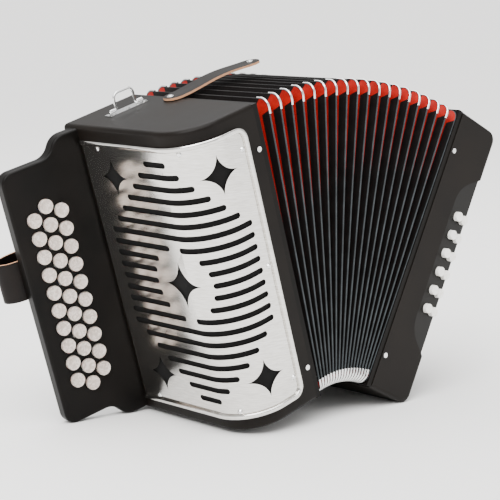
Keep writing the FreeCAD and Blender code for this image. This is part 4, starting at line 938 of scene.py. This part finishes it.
class ACCORDION_OT_straps(bpy.types.Operator):
    """Leather hand strap, thumb strap and bellows strap with their stitches and studs"""
    bl_idname = "accordion.straps"
    bl_label = "Straps"

    def execute(self, context):
        settings = in_mm(context.scene.accordion_straps)
        self.hand_strap(settings)
        self.thumb_strap(settings)
        self.bellows_strap(settings)
        return {"FINISHED"}

    def band(self, name, points, across, width, leather):
        """A strip of leather along a route, rounded at its edges."""
        across = Vector(across)

        def place(u, v):
            return route(points, u)[0] + across * (width * v)

        piece = surface(name, 8 * (len(points) - 1), 10, place)
        paint(piece, "leather", "cut_leather")
        apply_modifier(piece, "SOLIDIFY", thickness=leather, offset=1, material_offset_rim=1)
        apply_modifier(piece, "BEVEL", width=leather * 0.3, segments=2, limit_method="ANGLE",
                       angle_limit=math.radians(60))
        smooth(piece, 40)
        return piece

    def stitches(self, points, across, rows, lift, length):
        """Rows of short raised stitches along a route."""
        across = Vector(across)
        travel = [route(points, step / 200)[0] for step in range(201)]
        total = sum((b - a).length for a, b in zip(travel, travel[1:]))
        count = int(total / (length * 1.5))
        made = []
        for row in rows:
            for number in range(count):
                point, ahead = route(points, (number + 0.5) / count)
                out = across.cross(ahead).normalized()
                spot = point + across * row + out * lift
                deselect()
                bpy.ops.mesh.primitive_uv_sphere_add(segments=6, ring_count=4, radius=0.45)
                stitch = bpy.context.object
                turn = Matrix((ahead, across, ahead.cross(across))).transposed().to_4x4()
                stretch = Matrix.Diagonal((length / 0.9, 1, 0.8, 1))
                stitch.data.transform(Matrix.Translation(spot) @ turn @ stretch)
                made.append(stitch)
        piece = join("stitches", made)
        paint(piece, "thread")
        return piece

    def hand_strap(self, settings):
        """Wide strap over the back of the hand, sewn along both edges."""
        end, tab, bulge = 26.0, 14.0, 36.0
        x = BASS_WIDE + 0.4
        y = CASING_DEEP * 0.38
        low, high = end, CASING_HIGH - end
        run = high - low - 2 * tab
        points = [(x, y, low), (x, y, low + tab)]
        points += [(x + bulge * math.sin(math.pi * part) ** 0.8, y, low + tab + run * part)
                   for part in (0.06, 0.15, 0.3, 0.5, 0.7, 0.85, 0.94)]
        points += [(x, y, high - tab), (x, y, high)]
        strap = self.band("hand_strap_leather", points, (0, 1, 0), settings.hand_width, settings.leather)
        set_down(strap, BASS)
        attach(strap, "bass")
        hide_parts("hand_strap")
        rows = (4.0, settings.hand_width - 4.0)
        thread = self.stitches(points, (0, 1, 0), rows, settings.leather, settings.stitch)
        thread.name = "hand_strap_stitches"
        set_down(thread, BASS)
        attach(thread, "bass")

    def thumb_strap(self, settings):
        """Loop for the thumb on the back of the fingerboard."""
        profile = ((-58, 2.8), (-46, 7), (-34, 18), (-14, 27), (6, 25), (15, 14), (8, 4), (-8, 0.6),
                   (-22, 0.2))
        low = CASING_HIGH / 2 + 3
        points = [(-BOARD_REACH - out, BOARD_THICK + 0.4 + rear, low) for out, rear in profile]
        strap = self.band("thumb_strap_leather", points, (0, 0, 1), settings.thumb_width, settings.leather)
        set_down(strap, BOARD)
        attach(strap, "treble")
        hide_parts("thumb_strap")

    def bellows_strap(self, settings):
        """Strap that holds the bellows shut, with a snap stud at each end and a tan cut edge."""
        start, length, width, front = 76.0, 122.0, 22.0, 100.0
        top = CASING_HIGH + 0.7
        round_end = width / 2

        def hang(x):
            past = max(0.0, (x - start - 14) / (length - 14))
            return settings.rise * math.sin(math.pi * past) ** 2

        def place(u, v):
            edge = 2 * v - 1
            bow = round_end * (1 - math.sqrt(max(0, 1 - edge * edge)))
            x = start + bow + (length - 2 * bow) * u
            return Vector((x, front + width * v, top + hang(x)))

        piece = surface("bellows_strap_leather", 36, 16, place)
        face_out(piece, Vector((start, front, 0)))
        paint(piece, "leather", "cut_leather")
        apply_modifier(piece, "SOLIDIFY", thickness=settings.leather, offset=1, material_offset_rim=1)
        edit(piece, bpy.ops.mesh.remove_doubles, threshold=0.01)
        smooth(piece, 40)
        studs = []
        for x in (start + 6, start + length - 9):
            face = top + settings.leather + hang(x)
            studs.append(disc("stud", 3.4, 0.9, (x, front + width / 2, face), 24, 0.35))
            studs.append(disc("stud_cap", 2.2, 1.2, (x, front + width / 2, face + 0.6), 24, 0.5))
        set_down(piece, TREBLE)
        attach(piece, "treble")
        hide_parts("bellows_strap")
        caps = join("bellows_strap_studs", studs)
        paint(caps, "chrome")
        set_down(caps, TREBLE)
        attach(caps, "treble")


class ACCORDION_OT_bass_buttons(bpy.types.Operator):
    """White bass buttons and the air button"""
    bl_idname = "accordion.bass_buttons"
    bl_label = "Bass buttons"

    def execute(self, context):
        settings = in_mm(context.scene.accordion_buttons)
        for number in range(1, 7):
            node = "bass_button_pair_%d" % number
            piece = self.from_node(node, settings)
            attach(piece, "bass_pair_%d" % number)
        self.air_button()
        return {"FINISHED"}

    def from_node(self, node, settings):
        """Turn two buttons on the places of a frame node's own pair."""
        to_bass = BASS.inverted()
        spots = [to_bass @ corner.co for corner in NODES[node].data.vertices]
        front = min(spot.y for spot in spots)
        back = max(spot.y for spot in spots)
        middle_z = (min(spot.z for spot in spots) + max(spot.z for spot in spots)) / 2
        columns = (min(spot.x for spot in spots) + settings.bass_radius,
                   max(spot.x for spot in spots) - settings.bass_radius)
        tall = settings.bass_proud + 3.6
        stand = Matrix.Rotation(math.radians(90), 4, "X")
        parts = []
        for x in columns:
            face = min(spot.y for spot in spots if abs(spot.x - x) < settings.bass_radius + 0.2)
            cap = disc("cap", settings.bass_radius, tall, (0, 0, -tall), 40, 0.6, 0.7, 0.2)
            stem = disc("stem", 1.5, back - face - 0.5, (0, 0, face - back), 16)
            collar = disc("collar", 3.3, 2.0, (0, 0, face - back + 3.0), 24, 0.3)
            for part in (cap, stem, collar):
                part.data.transform(Matrix.Translation((x, face, middle_z)) @ stand)
            parts += [cap, stem, collar]
        piece = join("bass_buttons_" + node[-1], parts)
        paint(piece, "casein")
        set_down(piece, BASS)
        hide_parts(node)
        return piece

    def air_button(self):
        """Air button on the end face: dished cap, stem and pad."""
        y, z = CASING_DEEP * 0.2, CASING_HIGH * 0.9
        stand = Matrix.Translation((BASS_WIDE, y, z)) @ Matrix.Rotation(math.radians(90), 4, "Y")
        cap = disc("air_cap", 8.0, 4.0, (0, 0, 4.0), 48, 0.9, 1.0, 0.4)
        stem = disc("air_stem", 1.5, 12.9, (0, 0, -8.9), 16)
        pad = disc("air_pad", 7.0, 2.0, (0, 0, -9.0), 32, 0.3)
        piece = join("air_button_cap", [cap, stem, pad])
        paint(piece, "casein")
        set_down(piece, BASS @ stand)
        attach(piece, "air_button")
        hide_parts("air_button")


class ACCORDION_OT_fittings(bpy.types.Operator):
    """Finish the strap bracket, its bail and the bellows pins"""
    bl_idname = "accordion.fittings"
    bl_label = "Metal fittings"

    def execute(self, context):
        for node in ("strap_bracket", "strap_bail", "treble_bellows_pins", "bass_bellows_pins"):
            clothe_node(node, "chrome")
        return {"FINISHED"}


class ACCORDION_OT_stage(bpy.types.Operator):
    """Pale floor, soft studio light and the camera"""
    bl_idname = "accordion.stage"
    bl_label = "Stage"

    def execute(self, context):
        settings = context.scene.accordion_stage
        self.floor(settings)
        self.world(context, settings)
        self.sun(settings)
        self.lamp("key_light", (-1.8, -1.0, 1.9), 1.4, 50.0)
        self.lamp("fill_light", (1.2, -2.2, 0.9), 1.4, 9.0)
        self.lamp("top_light", (0.2, 0.9, 2.2), 1.6, 34.0)
        self.camera(context)
        return {"FINISHED"}

    def floor(self, settings):
        """A large plain floor."""
        deselect()
        bpy.ops.mesh.primitive_plane_add(size=240)
        floor = bpy.context.object
        floor.name = "studio_floor"
        made, tree, shader = material("floor_paper", {"Roughness": 0.8})
        shader.inputs["Base Color"].default_value = (*settings.floor, 1)
        floor.data.materials.append(made)

    def world(self, context, settings):
        """A white room."""
        world = bpy.data.worlds.new("studio_room")
        context.scene.world = world
        world.use_nodes = True
        background = world.node_tree.nodes["Background"]
        background.inputs["Color"].default_value = (1, 1, 1, 1)
        background.inputs["Strength"].default_value = settings.sky

    def sun(self, settings):
        """An even light with very soft shadows that whitens the floor."""
        deselect()
        bpy.ops.object.light_add(type="SUN", location=(0, 0, 3))
        sun = bpy.context.object
        sun.name = "sky_panel"
        sun.data.energy = settings.sun
        sun.data.angle = math.radians(60)
        sun.rotation_euler = (math.radians(18), math.radians(-14), 0)

    def lamp(self, name, place, size, power):
        """A square soft light that faces the object."""
        deselect()
        bpy.ops.object.light_add(type="AREA", location=place)
        lamp = bpy.context.object
        lamp.name = name
        lamp.data.size = size
        lamp.data.energy = power
        aim = Vector((0, 0, 0.15)) - Vector(place)
        lamp.rotation_euler = aim.to_track_quat("-Z", "Y").to_euler()

    def camera(self, context):
        """The camera, level but for a slight roll."""
        deselect()
        bpy.ops.object.camera_add(location=CAMERA_PLACE)
        camera = bpy.context.object
        camera.name = "studio_camera"
        camera.data.sensor_width = CAMERA_SENSOR
        camera.data.lens = CAMERA_LENS
        turn = (CAMERA_AIM - CAMERA_PLACE).to_track_quat("-Z", "Y")
        camera.rotation_mode = "QUATERNION"
        camera.rotation_quaternion = turn @ Matrix.Rotation(CAMERA_ROLL, 3, "Z").to_quaternion()
        context.scene.camera = camera


class ACCORDION_PT_panel(bpy.types.Panel):
    """The accordion's pieces"""
    bl_label = "Accordion"
    bl_idname = "ACCORDION_PT_panel"
    bl_space_type = "VIEW_3D"
    bl_region_type = "UI"
    bl_category = "Accordion"

    def draw(self, context):
        for operator in OPERATORS:
            self.layout.operator(operator.bl_idname)


SETTINGS = {
    "accordion_bellows": BellowsSettings,
    "accordion_buttons": ButtonSettings,
    "accordion_straps": StrapSettings,
    "accordion_stage": StageSettings,
}
OPERATORS = (
    ACCORDION_OT_stage, ACCORDION_OT_casings, ACCORDION_OT_insides, ACCORDION_OT_grille,
    ACCORDION_OT_treble_keys, ACCORDION_OT_bellows, ACCORDION_OT_corners, ACCORDION_OT_straps,
    ACCORDION_OT_bass_buttons, ACCORDION_OT_fittings,
)


def register():
    """Register the settings, the operators and the panel."""
    for name, group in SETTINGS.items():
        bpy.utils.register_class(group)
        setattr(bpy.types.Scene, name, bpy.props.PointerProperty(type=group))
    for operator in OPERATORS:
        bpy.utils.register_class(operator)
    bpy.utils.register_class(ACCORDION_PT_panel)


def unregister():
    """Undo register."""
    bpy.utils.unregister_class(ACCORDION_PT_panel)
    for operator in reversed(OPERATORS):
        bpy.utils.unregister_class(operator)
    for name, group in SETTINGS.items():
        delattr(bpy.types.Scene, name)
        bpy.utils.unregister_class(group)


def main():
    """Build every piece."""
    register()
    for operator in OPERATORS:
        group, action = operator.bl_idname.split(".")
        getattr(getattr(bpy.ops, group), action)()


if __name__ == "__main__":
    main()
